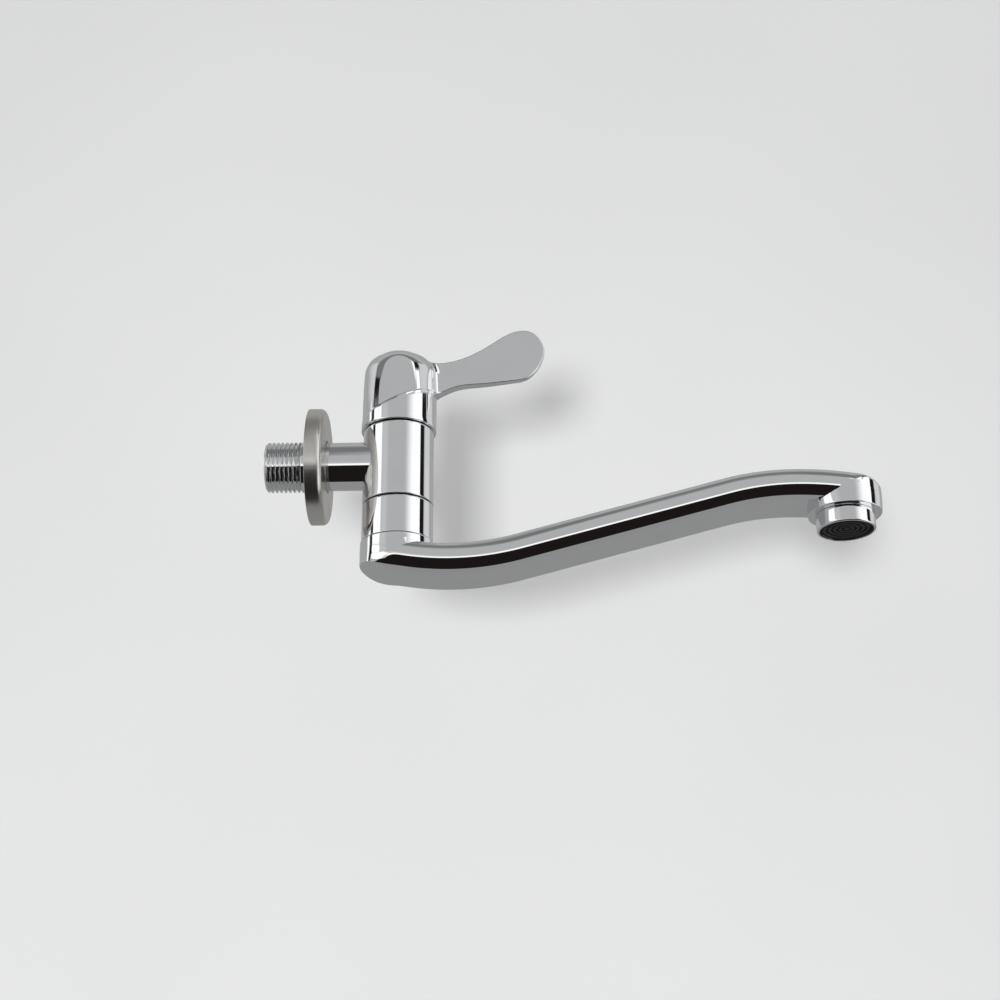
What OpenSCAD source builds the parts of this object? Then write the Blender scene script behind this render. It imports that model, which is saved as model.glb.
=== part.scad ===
// Wall-mounted single lever sink tap with a swivelling spout.
// Millimetres, +Z up. The origin is on the inlet axis in the wall plane,
// the spout points to +X and the inlet thread runs into the wall to -X.

/* [Inlet] */
// Outside diameter of the inlet thread, G 1/2
thread_od = 20.955; // [20.5:0.005:22]
// Pitch of the inlet thread
thread_pitch = 1.814; // [1.4:0.001:2.3]
// Length of the inlet thread behind the wall
thread_len = 18; // [12:0.5:30]
// Diameter of the plain inlet pipe
pipe_d = 20; // [18:0.1:20.4]
// Bore of the inlet pipe
pipe_bore = 14; // [11:0.5:15]
// Distance from the wall to the upright axis of the body
axis_x = 36.3; // [34:0.1:60]

/* [Body] */
// Diameter of the body barrel and of the collar below it
body_d = 29.2; // [29:0.1:34]
// Height of the barrel above the inlet axis
body_rise = 14.5; // [14:0.1:20]
// Depth of the barrel below the inlet axis
body_drop = 18.2; // [16:0.1:24]
// Diameter of the chamber that takes the cartridge
chamber_d = 17; // [16.6:0.1:18]
// Depth of the chamber floor below the inlet axis
chamber_drop = 9; // [8:0.1:11]
// Diameter of the port between pipe and chamber
port_d = 11; // [6:0.5:11]
// Diameter of the outlet waterway down the stem
outlet_d = 8.6; // [6:0.1:9.4]
// Chamfer on the edges at each ring seam
seam_chamfer = 0.35; // [0.1:0.05:0.6]

/* [Cartridge] */
// Diameter of the cartridge barrel in the chamber
cartridge_d = 14; // [13.8:0.1:14.4]
// Bore of the cartridge where the discs sit
disc_bore = 12.4; // [12:0.1:12.6]
// Length of the threaded top of the cartridge
cartridge_thread_len = 6; // [4:0.5:7]
// Diameter of the seat flange of the cartridge
seat_flange_d = 21.6; // [20:0.1:22.5]
// Thickness of the seat flange
seat_flange_t = 2; // [1.5:0.1:3]
// Thickness of the gasket under the seat flange
gasket_t = 0.8; // [0.5:0.1:1.5]
// Width across the flats of the cartridge hexagon
hex_af = 17; // [15:0.5:18]
// Height of the cartridge hexagon
hex_h = 4; // [3:0.5:6]
// Diameter of the neck above the hexagon
neck_d = 12; // [11:0.5:14]
// Height of the neck above the hexagon
neck_h = 4; // [3:0.5:6]
// Thickness of each ceramic disc
disc_t = 2.4; // [1.8:0.1:3]
// Height of the rubber seal under the lower disc
base_seal_h = 3.2; // [2.6:0.1:4]
// Diameter of the two round ports in each disc
disc_port_d = 3; // [2:0.1:3.4]
// Distance of those ports from the disc centre
disc_port_r = 3.3; // [2.8:0.1:3.6]
// Diameter of the side windows of the cartridge
window_d = 3; // [2:0.1:3]

/* [Spindle] */
// Diameter of the spindle
spindle_d = 8; // [7:0.1:9]
// Height of the driving foot of the spindle
foot_h = 3; // [2:0.1:4]
// Thickness of the slip washer above the foot
slip_t = 0.8; // [0.5:0.1:1.2]
// Section diameter of the spindle ring seal
spindle_seal_d = 1.4; // [1:0.1:1.8]
// Thickness of the spindle clip
clip_t = 0.8; // [0.6:0.1:1.2]
// Radial height that the clip stands out of the spindle
clip_stand = 1.4; // [1:0.1:1.8]
// Length of the splined end in the handle
spline_len = 12; // [8:0.5:15]
// Number of spline teeth
spline_teeth = 20; // [16:1:24]
// Depth of the spline teeth
spline_depth = 0.45; // [0.3:0.05:0.6]

/* [Swivel] */
// Diameter of the body stem that the spout turns on
stem_d = 18; // [17.6:0.1:19]
// Length of the collar between body and spout
collar_h = 16.3; // [15:0.1:22]
// Thickness of the washer between body and collar
washer_t = 1.4; // [1:0.1:2]
// Radial width of that washer
washer_w = 3; // [2:0.1:3.2]
// Thickness of the collar's inner lip
lip_t = 2.8; // [2:0.1:3.5]
// Thickness of the split retaining ring
ring_t = 1.4; // [1:0.1:2]
// Depth of the ring's groove in the stem
ring_groove = 1; // [0.6:0.1:1.2]
// Radial height that the ring stands out of the stem
ring_stand = 2.6; // [1.8:0.1:2.7]
// Section diameter of the stem ring seals
stem_seal_d = 1.8; // [1.4:0.1:2]
// Distance from the neck's top to the first stem seal
seal_inset = 3.6; // [3:0.1:4]
// Distance between the two stem seals
seal_step = 4.8; // [4:0.1:5]
// Length of stem that passes below the spout's top face
stem_past = 4.5; // [4:0.1:5.5]

/* [Handle] */
// Diameter of the handle skirt
handle_d = 31.2; // [30.8:0.1:36]
// Height of the handle's side below the shoulder curve
skirt_h = 26.1; // [24:0.1:29]
// Radius of the side's slight inward curve
barrel_r = 470; // [300:10:900]
// Radius of the shoulder curve of the dome
shoulder_r = 10.6; // [9:0.1:12]
// Radius of the crown of the dome
crown_r = 19.6; // [19:0.1:26]
// Diameter of the hollow under the handle
handle_bore = 24.4; // [23:0.1:25.5]
// Distance from the axis to each flat side facet, at the ledge
facet_y = 13.1; // [12.9:0.05:14]
// Inward lean of the facets
facet_lean = 0.5; // [0.5:0.5:3]
// Turn of the facets towards the lever
facet_turn = 2; // [0:0.5:8]
// Height on the axis of the sloping ledge under the facets
ledge_h = 10.3; // [8:0.1:13]
// Slope of the ledge, rising towards the lever
ledge_slope = 24; // [10:1:30]
// Reach of the lever tip from the axis
lever_reach = 61; // [55:0.1:80]
// Height of the top of the lever tip above the skirt's foot
lever_top = 47.5; // [44:0.1:56]
// Height of the lever's broad tip
lever_tip_h = 24.1; // [20:0.1:26]
// Height of the lever at its neck
lever_neck_h = 12.8; // [9:0.1:14]
// Height of the middle of the neck above the skirt's foot
lever_neck_z = 25.9; // [23:0.1:28]
// Thickness of the lever at its neck
lever_neck_t = 5; // [4:0.1:7]
// Thickness of the lever at its tip
lever_tip_t = 2.8; // [2.4:0.1:5]
// Radius of the upright fillets between dome and lever
lever_fillet_r = 4.5; // [3:0.1:6]
// Diameter of the grub screw at the back of the handle
grub_d = 4; // [3:0.5:5]
// Depth of the grub screw's outer end below the handle's side
grub_sink = 2; // [1:0.1:4]

/* [Spout] */
// Distance from the swivel axis to the outlet axis
spout_reach = 181.7; // [160:0.1:260]
// Width of the spout arm
spout_w = 30; // [29.6:0.1:34]
// Depth of the arm from crown to flat underside
spout_h = 13; // [12.8:0.1:15]
// Depth of the hub from its top to the lowest line of the underside
hub_h = 15.7; // [15.2:0.1:19]
// Height of the widest line above the underside
side_h = 6.2; // [5:0.1:6.3]
// Radius of the rounded lower side
under_r = 6.6; // [6.4:0.1:8]
// Radius of the shoulder between side and crown
arm_shoulder_r = 5.9; // [4.5:0.1:6]
// Radius of the crown of the arm
arm_crown_r = 60; // [55:0.5:90]
// Distance from the swivel axis to the lowest line of the underside
arm_lead = 22; // [16:0.5:24]
// Rise of the underside from its lowest line to its highest
arm_rise = 29.7; // [24:0.1:36]
// Slope of the arm's straight run
arm_slope = 15; // [12:0.5:18]
// Slope of the arm down towards the head
tip_slope = 6; // [3:0.5:8]
// Radius of the underside in the first bend, which runs on under the hub
first_bend_r = 113; // [105:1:150]
// Radius of the underside in the second bend
second_bend_r = 100; // [80:1:110]
// Depth of the round head below the arm's underside
head_drop = 2.5; // [2.4:0.1:6]
// Radial height that the head stands out of the arm's sides
head_out = 0.5; // [0.2:0.1:1]
// Radius of the head's rounded top edge
head_edge_r = 3.4; // [2:0.1:5]
// Radius of the head's rounded lower edge
head_foot_r = 1.2; // [0.5:0.1:1.5]
// Diameter of the waterway along the arm
channel_d = 8; // [5:0.1:8]
// Difference in diameter between the slanting and the level waterways
channel_step = 1; // [0.5:0.1:2]
// Thickness of the floor under the waterway
floor_t = 2.8; // [2.4:0.1:3]
// Wall between neck bore and collar thread
neck_wall = 3; // [2.9:0.1:3.2]

/* [Aerator] */
// Height of the visible aerator ring
aerator_h = 6.8; // [5:0.1:10]
// Diameter of the ring at the seam with the head
aerator_top_d = 24.2; // [23.8:0.1:28]
// Diameter of the ring at its lower end
aerator_low_d = 23.6; // [23.4:0.1:25]
// Diameter of the opening at the lower end
aerator_mouth_d = 21.8; // [21:0.1:22]
// Diameter of the screw thread in the head
aerator_thread_d = 21.6; // [21:0.1:22]
// Length of that thread
aerator_thread_len = 6.5; // [5:0.1:7]
// Bore through the thread
aerator_bore = 18.6; // [17:0.1:19]
// Depth that the insert sits above the lower end
insert_inset = 0.7; // [0.4:0.1:1.5]
// Height of the insert's rim
insert_rim_h = 3.5; // [2:0.1:4]
// Number of ring grooves in the insert's face
insert_rings = 4; // [2:1:5]
// Thickness of the wire screen
screen_t = 0.4; // [0.3:0.1:0.8]
// Thickness of the gasket above the thread
aerator_gasket_t = 1.6; // [1:0.1:2]
// Depth of the water chamber above the gasket
head_chamber_h = 4; // [3:0.1:4.2]

/* [Flange] */
// Diameter of the wall flange
flange_d = 48.2; // [40:0.1:70]
// Height of the flange from the wall to its face
flange_h = 7; // [5:0.1:12]
// Thickness of the flange sheet
flange_t = 0.8; // [0.6:0.1:1.5]
// Outside radius between the flange's face and its side
flange_edge_r = 2.4; // [1.6:0.1:4]
// Gap between the inlet thread and the flange's hole
flange_gap = 0.45; // [0.3:0.05:0.5]

/* [Fits] */
// Gap at each seam that turns
seam_gap = 0.4; // [0.3:0.05:0.8]
// Radial gap of each running fit
running_gap = 0.06; // [0.04:0.01:0.1]
// Radial gap of pieces that are screwed or pressed together
fixed_gap = 0.03; // [0.02:0.01:0.05]
// Gap at free ends and loose rims
free_gap = 0.3; // [0.25:0.05:0.35]

/* [Hidden] */
$fn = 96;
arc_steps = 6;
curve_steps = 8;
over = 1;
join_step = 0.02;
thread_angle = 27.5;
thread_depth_share = 0.640327;
thread_depth = thread_depth_share * thread_pitch;
seal_groove_share = 0.6;
seal_cover_share = 0.4;
hub_out = 0.1;
hub_ledge_angle = 12;

// Points of the lever's outline and the pulls on its curves, in quarters of the tip's height:
// the points from the corners of neck and tip, the pulls from their points
lever_root_up = [-1.2, 0.1];
lever_dip = [0, -0.4];
lever_rise = 0.5;
lever_grade = [1, 0.42];
lever_climb = 1.4 * lever_grade;
lever_crest = [-1.3, 0];
lever_crest_in = [1.7, 0];
lever_crest_out = [0.9, 0];
lever_nose = [0, -1.8];
lever_nose_in = [0, 1.1];
lever_nose_out = [0, 1.2];
lever_heel = [-2.3, 0];
lever_heel_in = [1.5, 0.1];
lever_heel_out = [2, 0.4];
lever_root_low = [-1.2, -0.5];
lever_root_in = [2, 1.1];

// Radii that several pieces share
body_r = body_d / 2;
stem_r = stem_d / 2;
spindle_r = spindle_d / 2;
handle_r = handle_d / 2;
spout_r = spout_w / 2;
hub_r = spout_r + hub_out;
head_r = spout_r + head_out;
pipe_r = pipe_d / 2;
chamber_r = chamber_d / 2;
disc_bore_r = disc_bore / 2;
thread_r = thread_od / 2;

// Inlet pipe: it ends where its socket is cut fully into the barrel
pipe_bed = sqrt(body_r * body_r - pipe_r * pipe_r) - free_gap;
pipe_end_x = axis_x - pipe_bed;

// Levels of the cartridge from the chamber floor up
floor_z = -chamber_drop;
base_seal_top = floor_z + base_seal_h;
fixed_disc_top = base_seal_top + disc_t;
moving_disc_top = fixed_disc_top + disc_t;
foot_top = moving_disc_top + foot_h;
slip_top = foot_top + slip_t;
cartridge_low = base_seal_top - base_seal_h * seal_cover_share;
gasket_top = body_rise + gasket_t;
flange_top = gasket_top + seat_flange_t;
hex_top = flange_top + hex_h;
neck_top = hex_top + neck_h;
clip_z = neck_top + free_gap;
clip_top = clip_z + clip_t;
spindle_seal_z = (slip_top + neck_top) / 2;
foot_r = disc_bore_r - free_gap;

// Levels of the handle
handle_z = body_rise + seam_gap;
handle_roof = clip_top + free_gap;
socket_top = handle_roof + spline_len;
grub_z = handle_roof + spline_len / 2;
grub_in = spindle_r + 2 * fixed_gap;
grub_len = handle_r - grub_sink - grub_in;
side_z = handle_z + seam_chamfer;
barrel_x = handle_r - barrel_r;
barrel_angle = asin((skirt_h - seam_chamfer) / barrel_r);
shoulder_x = barrel_x + (barrel_r - shoulder_r) * cos(barrel_angle);
dome_z = side_z + (barrel_r - shoulder_r) * sin(barrel_angle);
crown_angle = acos(shoulder_x / (crown_r - shoulder_r));
crown_z = dome_z - (crown_r - shoulder_r) * sin(crown_angle);

// Levels of the swivel from the body's shoulder down
shoulder_z = -body_drop;
collar_top = shoulder_z - seam_gap;
recess_z = shoulder_z - washer_t - fixed_gap;
lip_low = recess_z - lip_t;
ring_top = lip_low - fixed_gap;
ring_low = ring_top - ring_t;
spout_neck_top = ring_low - fixed_gap;
collar_low = collar_top - collar_h;
spout_top = collar_low - fixed_gap;
stem_low = spout_top - stem_past;
upper_seal_z = spout_neck_top - seal_inset;
lower_seal_z = upper_seal_z - seal_step;
neck_bore_r = stem_r + running_gap;
neck_r = neck_bore_r + neck_wall;
ring_out_r = stem_r + ring_stand;
stem_seal_r = stem_r - stem_seal_d / 2;

// Course of the spout arm, from its underside
under_z = spout_top - hub_h;
arm_run = (arm_rise - (first_bend_r + second_bend_r) * (1 - cos(arm_slope))) / sin(arm_slope);
run_x = arm_lead + first_bend_r * sin(arm_slope);
run_z = under_z + first_bend_r * (1 - cos(arm_slope));
bend_x = run_x + arm_run * cos(arm_slope);
level_x = bend_x + second_bend_r * sin(arm_slope);
level_z = under_z + arm_rise;
tip_x = level_x + second_bend_r * sin(tip_slope);
tip_z = level_z - second_bend_r * (1 - cos(tip_slope));
head_under_z = tip_z - (spout_reach - tip_x) * tan(tip_slope);
head_low = head_under_z - head_drop;
channel_h = floor_t + channel_d / 2;
cavity_back = arm_lead + neck_bore_r;
cavity_low = under_z + floor_t + first_bend_r - sqrt(pow(first_bend_r, 2) - pow(cavity_back, 2));

// Section of the arm: a flat underside, rounded sides and a crown
arm_crown_z = spout_h - arm_crown_r;

// Levels of the aerator from the head's seam
aerator_top = head_low - fixed_gap;
aerator_low = aerator_top - aerator_h;
aerator_thread_top = aerator_top + aerator_thread_len;
aerator_gasket_top = aerator_thread_top + fixed_gap + aerator_gasket_t;
head_chamber_top = aerator_gasket_top + fixed_gap + head_chamber_h;
insert_low = aerator_low + insert_inset;
insert_rim_top = insert_low + insert_rim_h;
screen_z = aerator_thread_top - screen_t;
insert_top = screen_z - fixed_gap;

// Points of an arc about a centre
function arc(centre, r, from, to, steps = arc_steps) = [
    for (i = [0 : steps]) let (a = from + (to - from) * i / steps)
        centre + r * [cos(a), sin(a)]
];

// Points of a cubic curve, without its last point
function curve(p0, p1, p2, p3, steps = curve_steps) = [
    for (i = [0 : steps - 1]) let (t = i / steps, s = 1 - t)
        s * s * s * p0 + 3 * s * s * t * p1 + 3 * s * t * t * p2 + t * t * t * p3
];

// A list of points without the first
function after_first(points) = [for (i = [1 : len(points) - 1]) points[i]];

// The same points on the left, in reverse, without the last one on the centre line
function mirrored(points) = [for (i = [len(points) - 2 : -1 : 0]) [-points[i][0], points[i][1]]];

// Rounded lower side of arm and hub, from the flat underside up to the widest line
function lower_side(inset = 0, end = 0) =
    arc([spout_r - under_r, side_h], under_r - inset, -asin((side_h - inset) / (under_r - inset)), end);

// Shoulder of the given radius that runs smoothly into the crown, up to the centre line
function crown_side(half_width, shoulder, inset = 0) =
    let (
        across = half_width - shoulder,
        up = sqrt(pow(arm_crown_r - shoulder, 2) - pow(across, 2)),
        meet = atan2(up, across)
    )
    concat(
        arc([across, arm_crown_z + up], shoulder - inset, 0, meet),
        after_first(arc([0, arm_crown_z], arm_crown_r - inset, meet, 90))
    );

// A round plate with a hole, standing on the given level
module ring(outer_r, inner_r, low, top) {
    translate([0, 0, low])
        difference() {
            cylinder(h = top - low, r = outer_r);
            translate([0, 0, -over]) cylinder(h = top - low + 2 * over, r = inner_r);
        }
}

// A ring seal of round section
module ring_seal(centre_r, section_d, z) {
    translate([0, 0, z]) rotate_extrude() translate([centre_r, 0]) circle(d = section_d);
}

// A solid cylinder with both edges chamfered
module chamfered(r, low, top, edge = seam_chamfer) {
    rotate_extrude()
        polygon([[0, low], [r - edge, low], [r, low + edge], [r, top - edge], [r - edge, top], [0, top]]);
}

// Moves a piece made about the Z axis onto the body's axis
module on_body() {
    translate([axis_x, 0, 0]) children();
}

// Moves a piece made about the Z axis onto the outlet's axis
module on_outlet() {
    translate([axis_x + spout_reach, 0, 0]) children();
}

module valve_body() {
    stem_groove = stem_seal_d * seal_groove_share;
    color("silver") on_body()
        difference() {
            union() {
                chamfered(body_r, shoulder_z, body_rise);
                translate([0, 0, stem_low]) cylinder(h = shoulder_z - stem_low + over, r = stem_r);
            }
            translate([0, 0, floor_z]) cylinder(h = body_rise - floor_z + over, r = chamber_r);
            translate([0, 0, stem_low - over]) cylinder(h = floor_z - stem_low + 2 * over, d = outlet_d);
            rotate([0, -90, 0]) translate([0, 0, pipe_bed]) cylinder(h = body_r, r = pipe_r + fixed_gap);
            rotate([0, -90, 0]) cylinder(h = body_r, d = port_d);
            ring(body_r, stem_r - ring_groove, ring_low - fixed_gap, ring_top + fixed_gap);
            for (z = [upper_seal_z, lower_seal_z])
                ring(body_r, stem_r - stem_seal_d - fixed_gap, z - stem_groove, z + stem_groove);
        }
}

module inlet_pipe() {
    half_groove = thread_depth * tan(thread_angle);
    grooves = floor((thread_len - thread_pitch) / thread_pitch);
    color("silver") rotate([0, 90, 0])
        rotate_extrude()
            polygon(concat(
                [[pipe_bore / 2, -thread_len], [thread_r - thread_depth, -thread_len],
                 [thread_r, -thread_len + half_groove]],
                [for (i = [1 : grooves], side = [-1, 0, 1])
                    [side == 0 ? thread_r - thread_depth : thread_r,
                     i * thread_pitch + side * half_groove - thread_len]],
                [[thread_r, 0], [pipe_r, 0], [pipe_r, pipe_end_x], [pipe_bore / 2, pipe_end_x]]
            ));
}

module cartridge_body() {
    color("goldenrod") on_body()
        difference() {
            union() {
                translate([0, 0, cartridge_low]) cylinder(h = body_rise - cartridge_low, d = cartridge_d);
                translate([0, 0, body_rise - cartridge_thread_len])
                    cylinder(h = cartridge_thread_len + gasket_t + over, r = chamber_r - fixed_gap);
                translate([0, 0, gasket_top]) cylinder(h = seat_flange_t, d = seat_flange_d);
                translate([0, 0, flange_top]) cylinder(h = hex_h, d = hex_af / cos(30), $fn = 6);
                translate([0, 0, hex_top - over]) cylinder(h = neck_h + over, d = neck_d);
            }
            translate([0, 0, cartridge_low - over])
                cylinder(h = slip_top + fixed_gap - cartridge_low + over, r = disc_bore_r);
            translate([0, 0, floor_z]) cylinder(h = neck_top - floor_z + over, r = spindle_r + running_gap);
            translate([0, 0, moving_disc_top + window_d / 2]) rotate([90, 0, 0])
                cylinder(h = 2 * chamber_r, d = window_d, center = true);
        }
}

module cartridge_gasket() {
    color("dimgray") on_body() ring(seat_flange_d / 2, chamber_r + fixed_gap, body_rise, gasket_top);
}

// A ceramic disc with two round ports on a line at the given angle
module port_disc(r, low, angle) {
    difference() {
        translate([0, 0, low]) cylinder(h = disc_t, r = r);
        for (side = [-1, 1]) rotate(angle)
            translate([side * disc_port_r, 0, low - over]) cylinder(h = disc_t + 2 * over, d = disc_port_d);
    }
}

module fixed_disc() {
    color("white") on_body() port_disc(disc_bore_r - fixed_gap, base_seal_top, 0);
}

module moving_disc() {
    color("white") on_body() port_disc(disc_bore_r - free_gap, fixed_disc_top, 90);
}

module base_seal() {
    color("dimgray") on_body() ring(disc_bore_r - fixed_gap, outlet_d / 2, floor_z, base_seal_top);
}

module retaining_ring() {
    gap_w = 2 * ring_stand;
    color("gray") on_body()
        difference() {
            ring(ring_out_r, stem_r - ring_groove + fixed_gap, ring_low, ring_top);
            translate([0, -gap_w / 2, ring_low - over]) cube([body_r, gap_w, ring_t + 2 * over]);
        }
}

module stem_seal_upper() {
    color("dimgray") on_body() ring_seal(stem_seal_r, stem_seal_d, upper_seal_z);
}

module stem_seal_lower() {
    color("dimgray") on_body() ring_seal(stem_seal_r, stem_seal_d, lower_seal_z);
}

module swivel_washer() {
    color("dimgray") on_body()
        ring(stem_r + fixed_gap + washer_w, stem_r + fixed_gap, shoulder_z - washer_t, shoulder_z);
}

// Side outline of the lever, from the axis along the top, round the tip and back below
function lever_outline() =
    let (
        pull = lever_tip_h / 4,
        neck_x = handle_r + lever_fillet_r / 2,
        neck_up = [neck_x, lever_neck_z + lever_neck_h / 2],
        neck_low = [neck_x, lever_neck_z - lever_neck_h / 2],
        corner_up = [lever_reach, lever_top],
        corner_low = [lever_reach, lever_top - lever_tip_h],
        root_up = neck_up + pull * lever_root_up,
        rise = [lever_reach / 2, neck_up[1] + pull * lever_rise],
        crest = corner_up + pull * lever_crest,
        nose = corner_up + pull * lever_nose,
        heel = corner_low + pull * lever_heel,
        root_low = neck_low + pull * lever_root_low
    )
    concat(
        [[0, root_up[1]]],
        curve(root_up, neck_up + pull * lever_dip, rise - pull * lever_grade, rise),
        curve(rise, rise + pull * lever_climb, crest - pull * lever_crest_in, crest),
        curve(crest, crest + pull * lever_crest_out, nose + pull * lever_nose_in, nose),
        curve(nose, nose - pull * lever_nose_out, heel + pull * lever_heel_in, heel),
        curve(heel, heel - pull * lever_heel_out, root_low + pull * lever_root_in, root_low),
        [root_low, [0, root_low[1]]]
    );

// Plan of the lever: a tapering strip with a filleted root
module lever_plan() {
    fillet_y = lever_neck_t / 2 + lever_fillet_r;
    fillet_x = sqrt(pow(handle_r + lever_fillet_r, 2) - fillet_y * fillet_y);
    root_y = handle_r * fillet_y / (handle_r + lever_fillet_r);
    polygon([
        [0, -lever_neck_t / 2], [fillet_x, -lever_neck_t / 2], [lever_reach + over, -lever_tip_t / 2],
        [lever_reach + over, lever_tip_t / 2], [fillet_x, lever_neck_t / 2], [0, lever_neck_t / 2]
    ]);
    difference() {
        translate([0, -root_y]) square([fillet_x, 2 * root_y]);
        for (side = [-1, 1]) translate([fillet_x, side * fillet_y]) circle(lever_fillet_r);
    }
}

module lever() {
    intersection() {
        translate([0, handle_r, handle_z]) rotate([90, 0, 0])
            linear_extrude(2 * handle_r) polygon(lever_outline());
        translate([0, 0, handle_z]) linear_extrude(lever_top + over) lever_plan();
    }
}

// Skirt and dome of the handle as one turned shape
module handle_dome() {
    rotate_extrude()
        polygon(concat(
            [[0, handle_z], [handle_r - seam_chamfer, handle_z]],
            arc([barrel_x, side_z], barrel_r, 0, barrel_angle),
            after_first(arc([shoulder_x, dome_z], shoulder_r, barrel_angle, crown_angle, 2 * arc_steps)),
            after_first(arc([0, crown_z], crown_r, crown_angle, 90, 2 * arc_steps))
        ));
}

module lever_handle() {
    color("silver") on_body()
        difference() {
            union() {
                handle_dome();
                lever();
            }
            for (side = [0, 1]) mirror([0, side, 0])
                translate([0, 0, handle_z + ledge_h]) rotate([facet_lean, -ledge_slope, -facet_turn])
                    translate([-2 * handle_r, facet_y, 0]) cube([4 * handle_r, handle_r, 3 * handle_r]);
            translate([0, 0, handle_z - over]) cylinder(h = handle_roof - handle_z + over, d = handle_bore);
            translate([0, 0, handle_z]) cylinder(h = socket_top - handle_z, r = spindle_r + fixed_gap);
            translate([0, 0, grub_z]) rotate([0, -90, 0])
                cylinder(h = 2 * handle_r, d = grub_d + 2 * fixed_gap);
        }
}

module grub_screw() {
    color("gray") on_body()
        translate([-grub_in, 0, grub_z]) rotate([0, -90, 0])
            difference() {
                cylinder(h = grub_len, d = grub_d);
                translate([0, 0, grub_len / 2]) cylinder(h = grub_len, d = grub_d / 2, $fn = 6);
            }
}

module spindle() {
    groove_r = spindle_r - spindle_seal_d - fixed_gap;
    half_groove = spindle_seal_d * seal_groove_share;
    tooth_w = PI * spindle_d / spline_teeth / 2;
    color("goldenrod") on_body()
        difference() {
            union() {
                translate([0, 0, moving_disc_top]) cylinder(h = foot_h, r = foot_r);
                translate([0, 0, foot_top - over]) cylinder(h = socket_top - foot_top, r = spindle_r);
            }
            ring(disc_bore_r, groove_r, spindle_seal_z - half_groove, spindle_seal_z + half_groove);
            ring(disc_bore_r, spindle_r - clip_stand / 2, clip_z - fixed_gap, clip_top + fixed_gap);
            for (i = [0 : spline_teeth - 1]) rotate(i * 360 / spline_teeth + 180 / spline_teeth)
                translate([spindle_r - spline_depth, -tooth_w / 2, handle_roof])
                    cube([spindle_r, tooth_w, spline_len + over]);
        }
}

module spindle_clip() {
    color("gray") on_body()
        difference() {
            ring(spindle_r + clip_stand, spindle_r - clip_stand / 2 + fixed_gap, clip_z, clip_top);
            translate([0, -clip_stand, clip_z - over])
                cube([2 * spindle_d, 2 * clip_stand, clip_t + 2 * over]);
        }
}

module slip_washer() {
    color("ivory") on_body() ring(foot_r, spindle_r + fixed_gap, foot_top, slip_top);
}

module spindle_seal() {
    color("dimgray") on_body() ring_seal(spindle_r - spindle_seal_d / 2, spindle_seal_d, spindle_seal_z);
}

// Full section of the arm, with the flat underside on the X axis
module arm_section(inset = 0) {
    half = concat(lower_side(inset), crown_side(spout_r, arm_shoulder_r, inset));
    polygon(concat(half, mirrored(half)));
}

// A straight run of a section along the arm
module straight_run(length) {
    rotate([90, 0, 90]) linear_extrude(length) children();
}

// A bend about a centre above the lowest line, between two slopes
module bend_up(r, from, to) {
    translate([0, 0, r]) rotate([90, 0, 0]) rotate([0, 0, from - 90])
        rotate_extrude(angle = to - from) translate([r, 0]) rotate(90) children();
}

// A bend about a centre below the highest line, between two slopes
module bend_down(r, from, to) {
    translate([0, 0, -r]) rotate([90, 0, 0]) rotate([0, 0, 90 - to])
        rotate_extrude(angle = to + from) translate([r, 0]) rotate(-90) children();
}

// The arm from hub to head. The straight runs reach into the bends, a hair smaller than they are
module arm() {
    translate([arm_lead, 0, under_z])
        bend_up(first_bend_r, -asin(arm_lead / first_bend_r), arm_slope) arm_section();
    translate([run_x, 0, run_z]) rotate([0, -arm_slope, 0]) translate([-over, 0, 0])
        straight_run(arm_run + 2 * over) arm_section(join_step);
    translate([level_x, 0, level_z]) bend_down(second_bend_r, arm_slope, tip_slope) arm_section();
    translate([tip_x, 0, tip_z]) rotate([0, tip_slope, 0]) translate([-over, 0, 0])
        straight_run((spout_reach - tip_x) / cos(tip_slope) + over) arm_section(join_step);
}

// Waterway of three drilled lengths that cross where the arm bends, the slanting one wider
module waterway() {
    low_z = under_z + channel_h;
    high_z = level_z + channel_h;
    low_x = arm_lead + first_bend_r * tan(arm_slope / 2);
    high_x = level_x - second_bend_r * tan(arm_slope / 2);
    slant = atan2(high_z - low_z, high_x - low_x);
    translate([0, 0, low_z]) rotate([0, 90, 0]) cylinder(h = low_x + over, d = channel_d - channel_step);
    translate([low_x, 0, low_z]) rotate([0, 90 - slant, 0]) translate([0, 0, -over])
        cylinder(h = norm([high_x - low_x, high_z - low_z]) + 2 * over, d = channel_d);
    translate([high_x - over, 0, high_z]) rotate([0, 90, 0])
        cylinder(h = spout_reach - high_x + over, d = channel_d - channel_step);
}

// Round hub, cut below by the same curved underside and rounded sides as the arm
module spout_hub() {
    ledge_z = side_h - under_r * sin(hub_ledge_angle);
    half = concat(
        lower_side(join_step, -hub_ledge_angle),
        [[hub_r + over, ledge_z], [hub_r + over, 2 * hub_h], [0, 2 * hub_h]]
    );
    reach_back = asin((arm_lead + hub_r + over) / first_bend_r);
    reach_on = asin((hub_r + over) / first_bend_r);
    intersection() {
        rotate_extrude()
            polygon([[0, under_z - over], [hub_r, under_z - over], [hub_r, spout_top - seam_chamfer],
                     [hub_r - seam_chamfer, spout_top], [0, spout_top]]);
        translate([arm_lead, 0, under_z]) bend_up(first_bend_r, -reach_back, reach_on)
            polygon(concat(half, mirrored(half)));
    }
    translate([0, 0, spout_top - over]) cylinder(h = spout_neck_top - spout_top + over, r = neck_r);
}

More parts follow.
